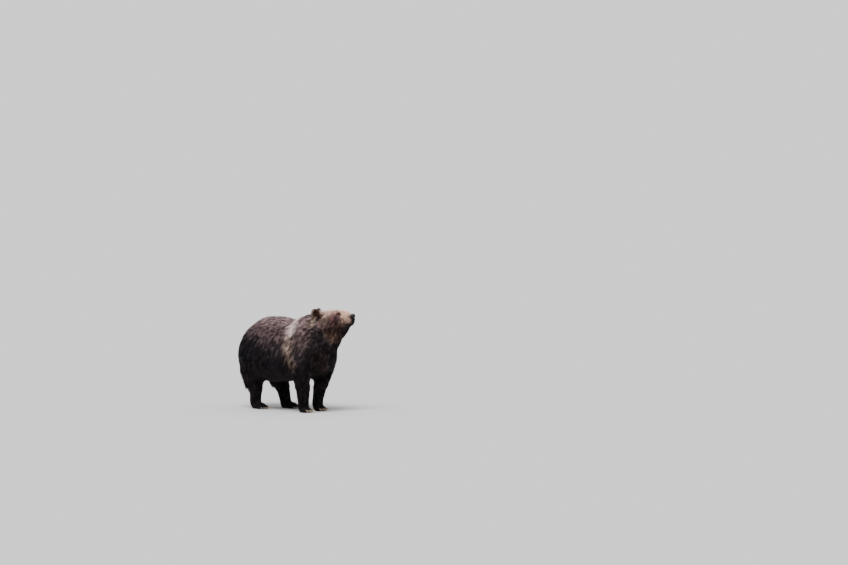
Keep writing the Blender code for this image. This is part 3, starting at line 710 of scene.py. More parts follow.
# %% [markdown]
# ## Finishes
# A shader node group is like a function: it is built once and placed in each material that needs
# it. The first group gives hair its fine unevenness, the second gives leather its pebbles. They
# put out only colours, roughness and height, and each material keeps its own shader. Short helpers
# make the nodes, so that a finish reads as a few lines.


# %% Node helpers
def fill(tree, node, **inputs):
    """Sets a node's inputs, or links those given a socket. In a name, _ is a space, or it leads a number."""
    for key, value in inputs.items():
        socket = node.inputs[int(key[1:])] if key[1:].isdigit() else node.inputs[key.replace("_", " ")]
        if isinstance(value, bpy.types.NodeSocket):
            tree.links.new(value, socket)
        else:
            socket.default_value = value
    return node


def add_node(tree, kind, settings=None, **inputs):
    """A shader node with its settings made and its inputs filled."""
    node = tree.nodes.new("ShaderNode" + kind)
    for key, value in (settings or {}).items():
        setattr(node, key, value)
    return fill(tree, node, **inputs)


def noise(tree, place, scale, detail):
    """Soft unevenness from 0 to 1, with scale patches in a metre."""
    return add_node(tree, "TexNoise", None, Vector=place, Scale=scale, Detail=detail).outputs["Fac"]


def times_plus(tree, value, factor, plus):
    """value times factor, and plus added."""
    return add_node(tree, "Math", {"operation": "MULTIPLY_ADD"}, _0=value, _1=factor, _2=plus).outputs[0]


def toned(tree, tone, share):
    """A colour multiplied by a share."""
    return add_node(tree, "VectorMath", {"operation": "SCALE"}, Vector=tone, Scale=share).outputs[0]


def between(tree, value, low, high):
    """low where the value is 0, high where it is 1."""
    return add_node(tree, "MapRange", None, Value=value, To_Min=low, To_Max=high).outputs[0]


def raised(tree, height, strength, distance):
    """The normal tilted as if the surface rose by its height times the distance, in metres."""
    return add_node(tree, "Bump", None, Height=height, Strength=strength, Distance=distance).outputs[0]


def place_on(tree):
    """Where each point of the surface is, in Object coordinates."""
    return add_node(tree, "TexCoord").outputs["Object"]


def stored(tree, name, kind="Fac"):
    """What a piece's own mesh holds under a name: a number, or a Color."""
    return add_node(tree, "Attribute", {"attribute_name": name}).outputs[kind]


def new_group(name, **inputs):
    """A group with its inputs' values, None for a place, that puts out a tone, a roughness and a height."""
    tree = bpy.data.node_groups.new(name, "ShaderNodeTree")
    kinds = {type(None): "NodeSocketVector", tuple: "NodeSocketColor", float: "NodeSocketFloat"}
    for label, value in inputs.items():
        socket = tree.interface.new_socket(label, in_out="INPUT", socket_type=kinds[type(value)])
        if value is not None:
            socket.default_value = value
    for label, kind in (("Tone", tuple), ("Roughness", float), ("Height", float)):
        tree.interface.new_socket(label, in_out="OUTPUT", socket_type=kinds[kind])
    return tree, tree.nodes.new("NodeGroupInput").outputs, tree.nodes.new("NodeGroupOutput")


# %% The hair group
hair_group, given, put_out = new_group(
    "hair_grain", Place=None, Tone=(0.1, 0.1, 0.1, 1), Fineness=400.0, Contrast=0.3
)
grain = noise(hair_group, given["Place"], given["Fineness"], 3.0)
centred = add_node(hair_group, "Math", {"operation": "SUBTRACT"}, _0=grain, _1=0.5).outputs[0]
tone = toned(hair_group, given["Tone"], times_plus(hair_group, centred, given["Contrast"], 1.0))
fill(hair_group, put_out, Tone=tone, Roughness=between(hair_group, grain, 0.62, 0.48), Height=grain)
print("group", hair_group.name, "with", len(hair_group.nodes), "nodes")

# %% The leather group
leather_group, given, put_out = new_group("leather_pebble", Place=None, Tone=(0.03, 0.03, 0.03, 1), Pebble=900.0)
gaps, smooth = {"feature": "DISTANCE_TO_EDGE"}, {"interpolation_type": "SMOOTHSTEP"}
cells = add_node(leather_group, "TexVoronoi", gaps, Vector=given["Place"], Scale=given["Pebble"])
dome = add_node(leather_group, "MapRange", smooth, Value=cells.outputs["Distance"], From_Max=0.30).outputs[0]
wear = noise(leather_group, given["Place"], 90.0, 4.0)
# The tone is darker in the grooves between pebbles, which is painted shade, and varies at random with the wear.
tone = toned(leather_group, given["Tone"], times_plus(leather_group, dome, 0.45, wear))
fill(leather_group, put_out, Tone=tone, Roughness=between(leather_group, wear, 0.32, 0.52), Height=dome)
print("group", leather_group.name, "with", len(leather_group.nodes), "nodes")


# %% [markdown]
# The Principled shader does most real surfaces. Numbers that are the same all over are set on the
# shader's own sockets: a low specular and a little sheen for hair, a clear wet coat for the eye.


# %% Materials of coat and skin
def new_material(name, **constants):
    """A material whose Principled shader has these inputs, its tree, and the shader."""
    material = bpy.data.materials.new(name)
    material.use_nodes = True
    tree = material.node_tree
    return material, tree, fill(tree, tree.nodes["Principled BSDF"], **constants)


def hair_material(name, fineness, contrast, turn=(0, 0, 0), stretch=(1, 1, 1), bump=0.0):
    """Hair that takes its tone from the piece's own colours, with the fine grain on Object coordinates."""
    sheen = {"Sheen_Weight": 0.015, "Sheen_Roughness": 0.45, "Sheen_Tint": (0.95, 0.82, 0.72, 1)}
    material, tree, shader = new_material(name, Specular_IOR_Level=0.07, **sheen)
    mapped = add_node(tree, "Mapping", None, Vector=place_on(tree), Rotation=turn, Scale=stretch)
    hair = add_node(
        tree, "Group", {"node_tree": hair_group},
        Place=mapped.outputs[0], Tone=stored(tree, "tone", "Color"), Fineness=fineness, Contrast=contrast,
    ).outputs
    fill(tree, shader, Base_Color=hair["Tone"], Roughness=hair["Roughness"])
    if bump:
        fill(tree, shader, Normal=raised(tree, hair["Height"], bump, 0.002))
    return material


coat_hair = hair_material("coat_hair", fineness=260.0, contrast=0.9)
along_nose = (0, HEAD_LIFT, math.pi / 2 - HEAD_TURN)
face_hair = hair_material("face_hair", 520.0, 0.8, turn=along_nose, stretch=(0.2, 1, 1), bump=0.8)
print("hair materials:", coat_hair.name, face_hair.name)

# %% Put on the skin
skin_mesh.shade_smooth()


def give_tones(mesh, tones):
    """Stores one linear colour per point, under the name that the hair materials read."""
    layer = mesh.color_attributes.new("tone", "FLOAT_COLOR", "POINT")
    rgba = np.ones((len(tones), 4), np.float32)
    rgba[:, :3] = np.clip(tones, 0, 1)
    layer.data.foreach_set("color", rgba.ravel())


def give_numbers(mesh, name, numbers):
    """Stores one number per point under a name."""
    layer = mesh.attributes.new(name, "FLOAT", "POINT")
    layer.data.foreach_set("value", np.asarray(numbers, np.float32))


give_tones(skin_mesh, skin_tone)
skin = show("skin", skin_mesh, face_hair)
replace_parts(skin, *[name for name in flesh_names if not name.startswith(("eye", "nose"))])
print("the skin has", sum(len(p.vertices) - 2 for p in skin_mesh.polygons), "triangles")

# %% [markdown]
# ## The coat
# Real fur shows as locks: hundreds of hairs that lean together and end in one point. Each tuft here
# is a closed sliver with three sides, a bend and a tip, so it catches light as a lock does and
# looks right from both sides. First the roots: equal steps along the running total of the skin's
# area give each patch of skin its fair share of them.


# %% Scatter the roots
skin_mesh.calc_loop_triangles()
triangles = read(skin_mesh.loop_triangles, "vertices", 3, np.int32)
corners = points[triangles]
area = size_of(np.cross(corners[:, 1] - corners[:, 0], corners[:, 2] - corners[:, 0])) / 2
face_middle = corners.mean(axis=1)
face_local = in_head(face_middle)
face_normal = skin_normals[triangles].mean(axis=1)

mouth_gap = np.minimum(*(along_path(face_local * (1, side, 1), MOUTH)[0] for side in SIDES.values()))
grows = np.ones(len(triangles))
for name, centre in eyes.items():
    ball = face_local - in_head(centre[None])
    out, front, over = (ball @ eye_axes[name].T).T
    grows *= soft(np.sqrt((front / 1.25) ** 2 + over**2), 0.0095, 0.0125) + (size_of(ball) > 0.03)
grows = np.clip(grows, 0, 1) * soft(mouth_gap, 0.003, 0.006)
grows *= soft(size_of(face_local - nose_tip), 0.026, 0.034)
grows *= 1 - (face_middle[:, 2] < 0.010) * (face_normal[:, 2] < -0.3)
print(f"hair grows on {100 * (area * grows).sum() / area.sum():.0f}% of {area.sum():.2f} square metres of skin")


def scatter(faces, count):
    """Roots on some of the skin's faces: which face each is on, and its three corner weights."""
    running = np.cumsum(area[faces] * grows[faces] / width[triangles[faces]].mean(axis=1))
    steps = (np.arange(count) + rng.random(count)) / count * running[-1]
    face = faces[np.minimum(np.searchsorted(running, steps), len(faces) - 1)]
    a, b = rng.random((2, count))
    over = a + b > 1
    a, b = np.where(over, 1 - a, a), np.where(over, 1 - b, b)
    return face, np.stack([1 - a - b, a, b], axis=1)


# %% [markdown]
# Locks form because neighbouring hairs stick together. Space is cut into cells, each with one
# random point in it, and every tuft leans towards the nearest such point. Locks are longer than
# they are wide, so space is squeezed along the fall of the hair before it is cut. The same points
# carry random numbers, which make a whole lock lighter or darker than its neighbours.


# %% Gather tufts into locks
FALL, SQUEEZE = np.array([0, 0.47, -0.88]), 0.24
TABLE_SIZE, TABLE_STEPS = 4096, np.array([73856093, 19349663, 83492791])


def squeezed(places, share):
    """Each place with its distance along the fall of the hair multiplied by the share."""
    return places + (share - 1) * (places @ FALL)[:, None] * FALL / (FALL @ FALL)


def nearest_lock(places, size, seed):
    """The closest cell point, of those in the 27 cells round a squeezed place, and its two random numbers."""
    table = np.random.default_rng(seed).random((TABLE_SIZE, 5))
    places = squeezed(places, SQUEEZE)
    cell = np.floor(places / size).astype(int)
    best = np.full(len(places), np.inf)
    centre = np.zeros_like(places)
    luck = np.zeros((len(places), 2))
    for step in np.ndindex(3, 3, 3):
        key = cell + np.array(step) - 1
        row = table[(key @ TABLE_STEPS) % TABLE_SIZE]
        point = (key + row[:, :3]) * size
        away = size_of(point - places)
        closer = (away < best)[:, None]
        centre, luck = np.where(closer, point, centre), np.where(closer, row[:, 3:], luck)
        best = np.minimum(best, away)
    return squeezed(centre, 1 / SQUEEZE), luck


print(f"a lock is {1 / SQUEEZE:.1f} times as long as it is wide")

# %% [markdown]
# A tuft leaves the skin steeply and bends over to lie along the body. Its height above the skin
# follows 1 - (1 - t)^2 along its length, and comes up to the outline of the frame at the tip. On the
# sides and underneath, gravity bends it further.


# %% Shape the tufts
RINGS = np.array([0.0, 0.45, 1.0])
ROOT_WIDTH, RIDGE, SUNK = 0.7, 0.42, 0.002
TUFT_FACES = [[(0, 1, 4, 3), (1, 2, 5, 4), (2, 0, 3, 5)], [(3, 4, 6), (4, 5, 6), (5, 3, 6), (0, 2, 1)]]
TUFT_TONES = [0, 0, 0, 1, 1, 1, 2]  # root, bend or tip
PATCH = 0.003  # the side of a tuft's patch, as a share of the map's
TUFT_MAP = np.array([(-1, -1), (1, -1), (0, -1), (-1, 0), (1, 0), (0, 0), (0, 1)]) * PATCH / 2


def tuft_paths(root, normal, lie, reach, rise, lock_pull, sag):
    """Each tuft's middle line at the rings, t from root to tip: along the lie by reach t, up by
    rise (1 - (1 - t)^2), sideways to the lock's centre by pull t^1.5, and down by sag t^2."""
    t = RINGS[None, :, None]
    path = root[:, None] + reach[:, None, None] * t * lie[:, None]
    path = path + rise[:, None, None] * (1 - (1 - t) ** 2) * normal[:, None]
    path = path + t**1.5 * lock_pull[:, None]
    return path - sag[:, None, None] * t**2 * np.array([0, 0, 1.0])


def tuft_mesh(name, path, normal, side, wide, tones, patch):
    """Closed slivers: a triangle at the root, a wider one at the bend, and a point at the tip."""
    half, ridge = 0.5 * wide[:, None] * side, RIDGE * wide[:, None] * normal
    ring = np.stack([-half, half, ridge], axis=1)
    sunk = path[:, 0] - SUNK * normal
    points = np.concatenate([sunk[:, None] + ROOT_WIDTH * ring, path[:, 1:2] + ring, path[:, 2:]], axis=1)
    points[..., 2] = np.maximum(points[..., 2], FLOOR_GAP)
    first = 7 * np.arange(len(path))[:, None, None]
    faces = [(first + np.array(corners)).reshape(-1, len(corners[0])) for corners in TUFT_FACES]
    mesh = mesh_from(name, points.reshape(-1, 3), faces)
    give_tones(mesh, tones[:, TUFT_TONES].reshape(-1, 3))
    flat = (patch[:, None] + TUFT_MAP).reshape(-1, 2)
    layer = mesh.uv_layers.new(name="OFBake")
    corner = read(mesh.loops, "vertex_index", 1, np.int32)[:, 0]
    layer.uv.foreach_set("vector", flat[corner].astype(np.float32).ravel())
    return mesh


print("a tuft has", len(TUFT_MAP), "points and", sum(map(len, TUFT_FACES)), "faces")

# %% [markdown]
# A texture needs a flat map of the coat. Each region of skin is unrolled about its own long axis,
# like a label off a bottle, and a left and a right leg get a strip each. Every tuft takes a small
# patch of the map at its root's place. Rows and columns of equal count then spread the patches
# evenly, so that no two lie on each other.

# %% A flat map of the roots
BORDER = 0.004


def unrolled(places, axis, centres):
    """Angle about the nearest of the centres, in that centre's strip, and distance along the axis."""
    centres = np.asarray(centres)
    axis = unit(np.asarray(axis, float))
    beside = unit(np.cross(axis, [0.31, 0.95, 0.05]))
    strip = nearest(places, centres)
    arm = places - centres[strip]
    angle = np.arctan2(arm @ np.cross(axis, beside), arm @ beside) / (2 * math.pi) + 0.5
    return (strip + angle) / len(centres), places @ axis


def spread_out(across, along):
    """The same order of places in even rows and columns over the unit square."""
    count = len(across)
    rows = int(math.ceil(math.sqrt(count)))
    row = np.empty(count, int)
    row[np.argsort(along, kind="stable")] = np.arange(count) * rows // count
    order = np.lexsort((across, row))
    starts = np.searchsorted(row[order], np.arange(rows + 1))
    sizes = np.diff(starts)
    column = np.empty(count)
    column[order] = (np.arange(count) - starts[row[order]] + 0.5) / sizes[row[order]]
    placed = np.stack([column, (row + 0.5) / rows], axis=1)
    return BORDER + (1 - 2 * BORDER) * placed


print("four places are spread out to", spread_out(np.arange(4.0), np.arange(4.0)).round(2).tolist())

# %% [markdown]
# Roots are dark and tips light: partly the hair's own darker base, partly painted shade down among
# the tufts. Where the coat is pale some tips are blond, which is the grizzling that gives the bear
# its name. A streak is a whole lock that is lighter or darker than the marking it stands in. Short
# hair and very pale hair are streaked less.

# %% Colour the tufts
STREAK, STREAK_LEAST, STREAK_MOST, TUFT_SPREAD = 2.6, -1.8, 1.3, 0.15
CEILING, TIP_GAIN, MOST_GRIZZLE = 0.9, 1.25, 0.8


def no_brighter(tones):
    """Colours brought down as a whole where any part of them passes the ceiling, so that they keep their hue."""
    return tones / np.maximum(1, tones.max(axis=1, keepdims=True) / CEILING)


def tuft_tones(places, normal, fleck, luck, fine_luck):
    """Tones at root, bend and tip: the marking times e to the streak, which adds the luck of a lock, of a
    finer lock and of the tuft itself."""
    tone = markings(places, normal)
    streaks = np.clip(STREAK * (luck - 0.5) + STREAK * (fine_luck[:, 1] - 0.5), STREAK_LEAST, STREAK_MOST)
    streaks = streaks * (0.50 + 0.50 * fleck) * (1 - 0.50 * soft(tone.mean(axis=1), 0.10, 0.60))
    own = rng.normal(0, TUFT_SPREAD, len(tone))
    tone = no_brighter(tone * np.exp(streaks - 0.30 * fleck + own)[:, None])
    bright = tone.mean(axis=1)
    grizzled = 0.75 * soft(fine_luck[:, 0], 0.62, 0.95) + 0.35 * (rng.random(len(tone)) < 0.12)
    grizzled = grizzled * (soft(bright, 0.012, 0.09) * fleck)
    tip = mix(no_brighter(tone * TIP_GAIN), GRIZZLE, np.clip(grizzled, 0, MOST_GRIZZLE))
    # The root's tone is darkened: painted shade down among the tufts, over the hair's own darker base.
    base = tone * (0.35 + 0.35 * soft(bright, 0.15, 0.60))[:, None]
    return np.stack([base, tone, tip], axis=1)


print("a streak makes hair", np.exp([STREAK_LEAST, STREAK_MOST]).round(2), "times as bright")

# %% [markdown]
# Now each piece of the coat is grown. Tufts differ as hairs do: in length, height, width, lean and
# twist. The fringe behind the legs stands out further than the rest.

# %% Grow one piece of the coat
LOCK_SIZE, FINER, PULL, MOST_PULL = 0.021, 2.2, 0.55, 0.62
LENGTHS, HEIGHTS, WIDTHS = (0.75, 1.12), (0.35, 1.0), (0.8, 1.25)  # shares of what the region has
LEAN, TWIST, GRAVITY, STEEPEST, FRINGE_LIFT = 0.16, 0.35, 0.16, 0.75, 0.046
coat_total = 0


def grow(name, faces, count, axis, centres, material):
    """Grows the given number of tufts on some faces of the skin and shows them as one piece."""
    global coat_total
    count //= 1
    face, weight = scatter(faces, count)
    corner = triangles[face]

    def at_root(values):
        return (values[corner] * weight.reshape(weight.shape + (1,) * (values.ndim - 1))).sum(axis=1)

    root, normal = at_root(points), unit(at_root(skin_normals))
    long, deep, wide = at_root(length), at_root(depth), at_root(width)
    lie = laid_flat(at_root(flow), normal)
    side = np.cross(normal, lie)
    centre, luck = nearest_lock(root, LOCK_SIZE, 3)
    _, fine_luck = nearest_lock(root, LOCK_SIZE / FINER, 4)
    long = long * rng.uniform(*LENGTHS, count) * (0.86 + 0.28 * luck[:, 0])
    rise = deep * (rng.uniform(*HEIGHTS, count) + 0.10 * luck[:, 1])
    rise = rise + FRINGE_LIFT * at_root(fringe) * (0.4 + 0.6 * luck[:, 0])
    rise = np.minimum(rise, STEEPEST * long)
    reach = np.sqrt(long**2 - rise**2)
    yaw = rng.normal(0, LEAN, count) + 0.5 * (fine_luck[:, 0] - 0.5)
    lie = lie * np.cos(yaw)[:, None] + side * np.sin(yaw)[:, None]
    pull = centre - root
    pull = pull - dot(pull, normal) * normal - dot(pull, lie) * lie * 0.6
    pull = pull * np.clip(PULL * long / LOCK_SIZE, 0, MOST_PULL)[:, None]
    sag = long * GRAVITY * (1 - soft(normal[:, 2], 0.0, 0.7))
    path = tuft_paths(root, normal, lie, reach, rise, pull, sag)
    twist = rng.normal(0, TWIST, count)[:, None]
    side = unit(np.cross(normal, path[:, 2] - path[:, 0]))
    across = side * np.cos(twist) + normal * np.sin(twist)
    ridge = normal * np.cos(twist) - side * np.sin(twist)

    fleck = soft(long, 0.008, 0.035) * (1 - 0.55 * at_root(share_of("head")))
    tones = tuft_tones(root + 0.55 * (path[:, 2] - root), normal, fleck, luck[:, 1], fine_luck)
    patch = spread_out(*unrolled(root, axis, centres))
    mesh = tuft_mesh(name, path, ridge, across, wide * rng.uniform(*WIDTHS, count), tones, patch)
    show(name, mesh, material)
    coat_total += 10 * count
    print(f"{name}: {count} tufts, {long.mean() * 1000:.0f} mm long, {wide.mean() * 1000:.1f} mm wide")


# %% [markdown]
# The coat is divided as the body is, because each piece needs a flat map of its own and has to
# stay light enough to print or to thin. Where two pieces meet their tufts overlap, so no edge shows.

# %% Divide the coat among the parts
face_owner = owner[triangles[:, 0]]


def faces_of(*words):
    """The skin's faces nearest to the solids whose names hold one of these words."""
    wanted = [k for k, name in enumerate(flesh_names) if any(word in name for word in words)]
    return np.flatnonzero(np.isin(face_owner, wanted))


def pair(name):
    return [middle(f"{name}_{side}") for side in SIDES]


head_faces = faces_of("head", "nose", "eye", "ear_left", "ear_right")
is_face = face_local[head_faces, 0] > 0.15
print({"face": int(is_face.sum()), "rest of the head": int((~is_face).sum())}, "faces of skin")

# %% Grow the whole coat
on_face, on_crown, down, back = head_faces[is_face], head_faces[~is_face], (0, 0, -1), (0, 1, 0)
skull = [from_head((0.15, 0, 0))]
for name, faces, count, axis, centres, material, slot in (
    ("coat_face", on_face, 17000, forward, skull, face_hair, "coat_tan"),
    ("coat_crown", on_crown, 14000, forward, skull, face_hair, "coat_mid"),
    ("coat_neck", faces_of("neck"), 16000, (0.25, -0.85, 0.45), [middle("neck")], coat_hair, "coat_mid"),
    ("coat_shoulders", faces_of("trunk_front"), 19000, back, [middle("trunk_front")], coat_hair, "coat_mid"),
    ("coat_barrel", faces_of("trunk_middle"), 19000, back, [middle("trunk_middle")], coat_hair, "coat_mid"),
    ("coat_rump", faces_of("trunk_rear", "tail"), 17500, back, [middle("trunk_rear")], coat_hair, "coat_mid"),
    ("coat_upper_arms", faces_of("upper_arm"), 14500, down, pair("upper_arm"), coat_hair, "coat_black"),
    ("coat_thighs", faces_of("thigh"), 15500, down, pair("thigh"), coat_hair, "coat_black"),
    ("coat_forelegs", faces_of("forearm", "forepaw"), 8500, down, pair("forearm"), coat_hair, "coat_black"),
    ("coat_hindlegs", faces_of("shank", "hindpaw"), 8500, down, pair("shank"), coat_hair, "coat_black"),
):
    grow(name, faces, count, axis, centres, material)
print(f"{coat_total} triangles in the coat")

# %% [markdown]
# ## Eyes, nose and claws
# Round forms with a middle line are easiest as a grid: one number runs from pole to pole, the other
# goes round. The rings close on themselves and each pole is one point, so the surface has no hole.


# %% Grids that close at both ends
def closed_grid(name, rings, first, last):
    """Rings of equal count, joined in order, with a fan at each end. rings is (rings, round, 3)."""
    points = np.concatenate([rings.reshape(-1, 3), [first, last]])
    here = np.arange(len(points) - 2).reshape(rings.shape[:2])
    beside = np.roll(here, -1, axis=1)
    quads = np.stack([here[:-1], beside[:-1], beside[1:], here[1:]], axis=-1).reshape(-1, 4)
    near = np.stack([np.full_like(here[0], len(points) - 2), beside[0], here[0]], axis=1)
    far = np.stack([np.full_like(here[0], len(points) - 1), here[-1], beside[-1]], axis=1)
    mesh = mesh_from(name, points, [quads, np.concatenate([near, far])])
    shape = bmesh.new()
    shape.from_mesh(mesh)
    bmesh.ops.recalc_face_normals(shape, faces=shape.faces)
    shape.to_mesh(mesh)
    shape.free()
    return mesh


def angles(rings, turns):
    """The angles of rings between two poles, as a column, and of turns once round, as a row."""
    round_once = np.linspace(0, 2 * math.pi, turns, endpoint=False)
    return np.linspace(0, math.pi, rings + 2)[1:-1, None], round_once[None]


print("three rings between the poles lie at", np.degrees(angles(3, 4)[0][:, 0]), "degrees")

# %% [markdown]
# A bear's eye is small and dark, and almost all iris. The ball has a slightly raised cornea in
# front. Its material reads the angle from the middle of the pupil, stored on the mesh, and a clear
# wet coat gives it the catch-light.

# %% The eye's material
def give_stops(ramp, stops):
    """Makes a ramp's colours: each stop is a place and a tone."""
    elements = ramp.color_ramp.elements
    for k, (place, tone) in enumerate((stops[0], stops[-1], *stops[1:-1])):
        element = elements[k] if k < 2 else elements.new(place)
        element.position, element.color = place, (*tone, 1)


PUPIL, HAZE, IRIS_DARK = (0.001, 0.001, 0.001), (0.012, 0.008, 0.007), (0.004, 0.003, 0.003)
eye_brown, tree, shader = new_material(
    "eye_brown", Roughness=0.15, Coat_Weight=0.28, Coat_Roughness=0.02, Specular_IOR_Level=0.10
)
fibres = noise(tree, place_on(tree), 700.0, 3.0)
rings = add_node(tree, "ValToRGB", None, Fac=times_plus(tree, fibres, 0.10, stored(tree, "from_pupil")))
iris = [(0.30, (0.034, 0.012, 0.006)), (0.52, (0.026, 0.010, 0.006)), (0.68, IRIS_DARK)]
give_stops(rings, [(0.25, PUPIL), *iris, (1.0, HAZE)])
fill(tree, shader, Base_Color=rings.outputs["Color"])
print("eye material with", len(rings.color_ramp.elements), "rings")

# %% The eyeballs
CORNEA = 0.06
for name, side in SIDES.items():
    out, front, over = eye_axes[name] @ HEAD
    polar, turn = angles(32, 48)
    radius = EYE_RADIUS * (1 + CORNEA * np.exp(-((polar / 0.50) ** 2)))
    ring = radius[..., None] * (
        np.cos(polar)[..., None] * out
        + np.sin(polar)[..., None] * (np.cos(turn)[..., None] * front + np.sin(turn)[..., None] * over)
    )
    centre = eyes[name]
    front_pole, back_pole = centre + (1 + CORNEA) * EYE_RADIUS * out, centre - EYE_RADIUS * out
    ball = closed_grid(f"eyeball_{name}", centre + ring, front_pole, back_pole)
    off_axis = np.arccos(np.clip(unit(points_of(ball) - centre) @ out, -1, 1))
    give_numbers(ball, "from_pupil", off_axis)
    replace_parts(show(f"eyeball_{name}", ball, eye_brown), f"eye_{name}")
print(f"eyeballs look out at {math.degrees(math.acos(eye_axes['left'][0][0])):.0f} degrees from straight ahead")

# %% [markdown]
# The nose is a pad of bare leather, wider at the top, with a comma-shaped nostril on each side that
# opens outwards, and a groove down the middle to the lip. It is a rounded box bent round the end of
# the muzzle, and the nostrils are pushed into it. Inside them the leather is painted nearly black:
# painted shade.

# %% The nose
PAD = np.array([0.030, 0.0320, 0.0290])  # half its depth, width and height
SQUASH = np.array([0.4, 1, 1])  # distances straight ahead count less, so a nostril is bored deep
polar, turn = angles(60, 96)


def powered(wave, power):
    """A wave with its size raised to a power and its sign kept, which squares a circle's corners."""
    return np.sign(wave) * abs(wave) ** power


ahead = powered(np.cos(polar), 0.75) * np.ones_like(turn)
left = powered(np.sin(polar), 0.80) * powered(np.cos(turn), 0.85)
up = powered(np.sin(polar), 0.80) * powered(np.sin(turn), 0.85)
pad = np.stack([ahead * PAD[0], left * PAD[1] * (1 + 0.16 * up), up * PAD[2]], axis=-1)
pad[..., 0] -= 1.5 * abs(pad[..., 1]) ** 1.5 + 0.10 * np.maximum(-pad[..., 2], 0)
flat_pad = pad.reshape(-1, 3)
nostril_shade = np.zeros(len(flat_pad))
for side in SIDES.values():
    path = [(0.024, side * 0.0130, 0.001), (0.019, side * 0.0200, -0.005), (0.007, side * 0.0290, -0.003)]
    distance, place = along_path(flat_pad * SQUASH, path * SQUASH)
    across_it = np.interp(place, [0, 0.5, 1], [0.0074, 0.0050, 0.0028])
    bore = (1 - soft(distance, 0.35 * across_it, 1.30 * across_it)) * (flat_pad[:, 0] > 0)
    flat_pad = flat_pad - bore[:, None] * np.array([0.0150, -side * 0.0020, -0.0020])
    nostril_shade = np.maximum(nostril_shade, soft(bore, 0.25, 0.85))
middle_gap = abs(flat_pad[:, 1]) / 0.0020
flat_pad[:, 0] -= 0.0028 * np.exp(-(middle_gap**2)) * (flat_pad[:, 2] < 0.006) * (flat_pad[:, 0] > 0)
nose_middle = nose_tip + np.array([0.0020, 0, -0.0020])
nose_mesh = closed_grid(
    "nose_pad",
    from_head(flat_pad.reshape(pad.shape) + nose_middle),
    from_head(nose_middle + (PAD[0] - 0.001, 0, 0)),
    from_head(nose_middle - (PAD[0], 0, 0)),
)
give_numbers(nose_mesh, "nostril_shade", np.append(nostril_shade, [0, 0]))
nose_leather, tree, shader = new_material("nose_leather", Specular_IOR_Level=0.22)
pebbles = add_node(
    tree, "Group", {"node_tree": leather_group},
    Place=place_on(tree), Tone=(0.019, 0.019, 0.028, 1), Pebble=620.0,
).outputs
# The nostrils are darkened almost to black: painted shade inside them.
fill(tree, shader, Base_Color=toned(tree, pebbles["Tone"], times_plus(tree, stored(tree, "nostril_shade"), -0.92, 1.0)))
fill(tree, shader, Roughness=pebbles["Roughness"], Normal=raised(tree, pebbles["Height"], 0.5, 0.0006))
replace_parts(show("nose_pad", nose_mesh, nose_leather), "nose")
print("nose pad", (2000 * PAD).round(0), "mm")

# %% [markdown]
# A grizzly's claws are long and gently curved, dark at the root and paler to the tip, with fine
# lines along them. The solids have the right curve, so each claw is a merged copy of its solid with
# its facets rounded by one level of subdivision.

# %% The claws
HORN_DARK, HORN_PALE = (0.040, 0.028, 0.022), (0.330, 0.250, 0.180)
claw_horn, tree, shader = new_material("claw_horn", Specular_IOR_Level=0.5)
lines = add_node(tree, "Mapping", None, Vector=place_on(tree), Scale=(1, 0.12, 0.35))
streak = noise(tree, lines.outputs[0], 900.0, 4.0)
horn = add_node(tree, "ValToRGB", None, Fac=times_plus(tree, streak, 0.35, stored(tree, "to_tip")))
give_stops(horn, [(0.15, HORN_DARK), (1.0, HORN_PALE)])
fill(tree, shader, Base_Color=horn.outputs["Color"], Roughness=between(tree, streak, 0.28, 0.50))
fill(tree, shader, Normal=raised(tree, streak, 0.4, 0.0005))

claw_names = [name for name in nodes if "claw" in name]
for name in claw_names:
    mesh, claw_points, _ = merged_copy(nodes[name])
    paw_middle = middle(name.split("_claw")[0])
    outwards = size_of((claw_points - paw_middle)[:, :2])
    give_numbers(mesh, "to_tip", soft(outwards, outwards.min(), outwards.max()))
    mesh.shade_smooth()
    claw = show(name.replace("claw", "horn"), mesh, claw_horn)
    rounding = claw.modifiers.new("rounding", "SUBSURF")
    rounding.levels = rounding.render_levels = 1
    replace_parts(claw, name)
print(len(claw_names), "claws")

# %% [markdown]
# ## Floor, light and camera
# The bear stands on a plain pale floor. A sun with a very wide disc is the softest even light: it
# has the same strength everywhere, so the floor keeps one tone out to the horizon. The world's tone
# is set to match what the lit floor sends back, and the horizon disappears.

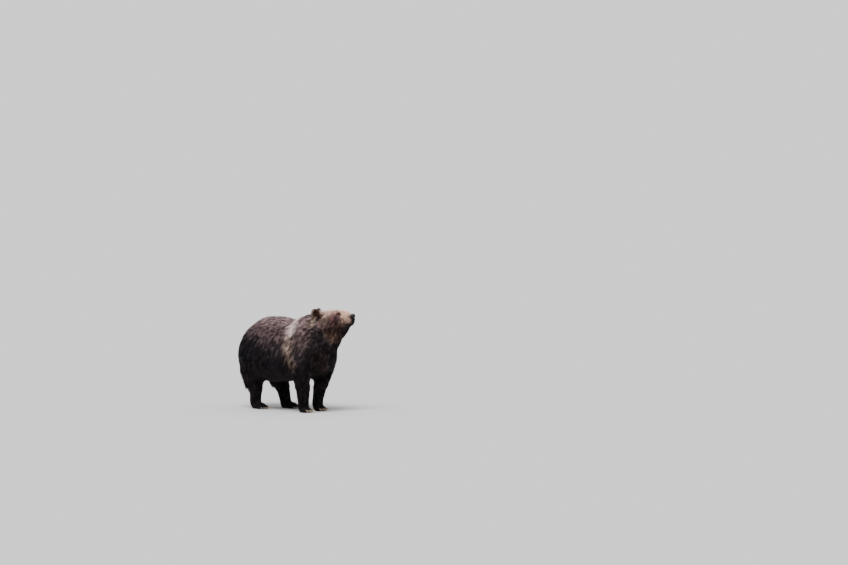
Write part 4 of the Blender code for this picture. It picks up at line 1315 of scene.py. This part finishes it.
# %% The studio
FLOOR_TONE, SUN, SUN_HEIGHT = 0.45, 5.3, math.radians(60)
WORLD_TONE = FLOOR_TONE * SUN * math.sin(SUN_HEIGHT) / math.pi / (1 - FLOOR_TONE)
FLOOR_REACH = 900.0
corners = FLOOR_REACH * np.array([(-1, -1, 0), (1, -1, 0), (1, 1, 0), (-1, 1, 0)])
floor = new_object("floor", mesh_from("floor", corners, [np.array([[0, 1, 2, 3]])]))
pale, _, _ = new_material(
    "pale_floor", Base_Color=(FLOOR_TONE, FLOOR_TONE, FLOOR_TONE, 1), Roughness=0.9, Specular_IOR_Level=0.0
)
floor.data.materials.append(pale)
floor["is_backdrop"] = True

world = bpy.data.worlds.new("studio")
world.use_nodes = True
background = world.node_tree.nodes["Background"]
background.inputs["Color"].default_value = (WORLD_TONE, WORLD_TONE, WORLD_TONE, 1)
bpy.context.scene.world = world

# %% [markdown]
# The camera is far away with a long lens, so the bear's shape is hardly changed by distance. The
# bear stands low and left of the middle of the frame. The place its feet should have in the frame
# gives the point to aim at.

# %% The camera
VIEW_TURN, VIEW_LIFT = math.radians(-45), math.radians(4)
LENS, SENSOR, AWAY = 300.0, 36.0, 81.2
FEET_FROM_MIDDLE = (-1.563, -1.460)  # metres across and up in the plane of the bear
FEET = np.array([0, 0.0565, 0])
cross_view = np.array([math.cos(VIEW_TURN), math.sin(VIEW_TURN), 0])
to_camera = bearing(VIEW_TURN, VIEW_LIFT)
up_view = np.cross(to_camera, cross_view)
aim = FEET - FEET_FROM_MIDDLE[0] * cross_view - FEET_FROM_MIDDLE[1] * up_view
camera_data = bpy.data.cameras.new("camera")
camera_data.lens, camera_data.sensor_width = LENS, SENSOR
camera_data.clip_start, camera_data.clip_end = 1.0, 3000.0
camera = new_object("camera", camera_data)
camera.location = aim + AWAY * to_camera
camera.rotation_euler = (math.pi / 2 - VIEW_LIFT, 0, VIEW_TURN)
bpy.context.scene.camera = camera
print("the camera is at", np.round(camera.location, 2))

# %% The light
sun = bpy.data.lights.new("key", "SUN")
sun.energy, sun.angle = SUN, math.radians(30)
lamp = new_object("key", sun)
lamp.rotation_euler = (math.pi / 2 - SUN_HEIGHT, 0, VIEW_TURN - math.radians(20))
print(f"floor tone {FLOOR_TONE}, world tone {WORLD_TONE:.2f}")

# %% [markdown]
# How far the coat stands proud of the imported outline is found from the two boxes, axis by axis,
# and printed. The coat may stand proud of the imported outline by a little and no more.

# %% Compare the boxes and finish
low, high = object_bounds()
for axis, a, b, c, d in zip("xyz", cad_low, low, cad_high, high):
    print(f"{axis}: {1000 * (a - b):.0f} mm beyond the low side, {1000 * (d - c):.0f} mm beyond the high side")
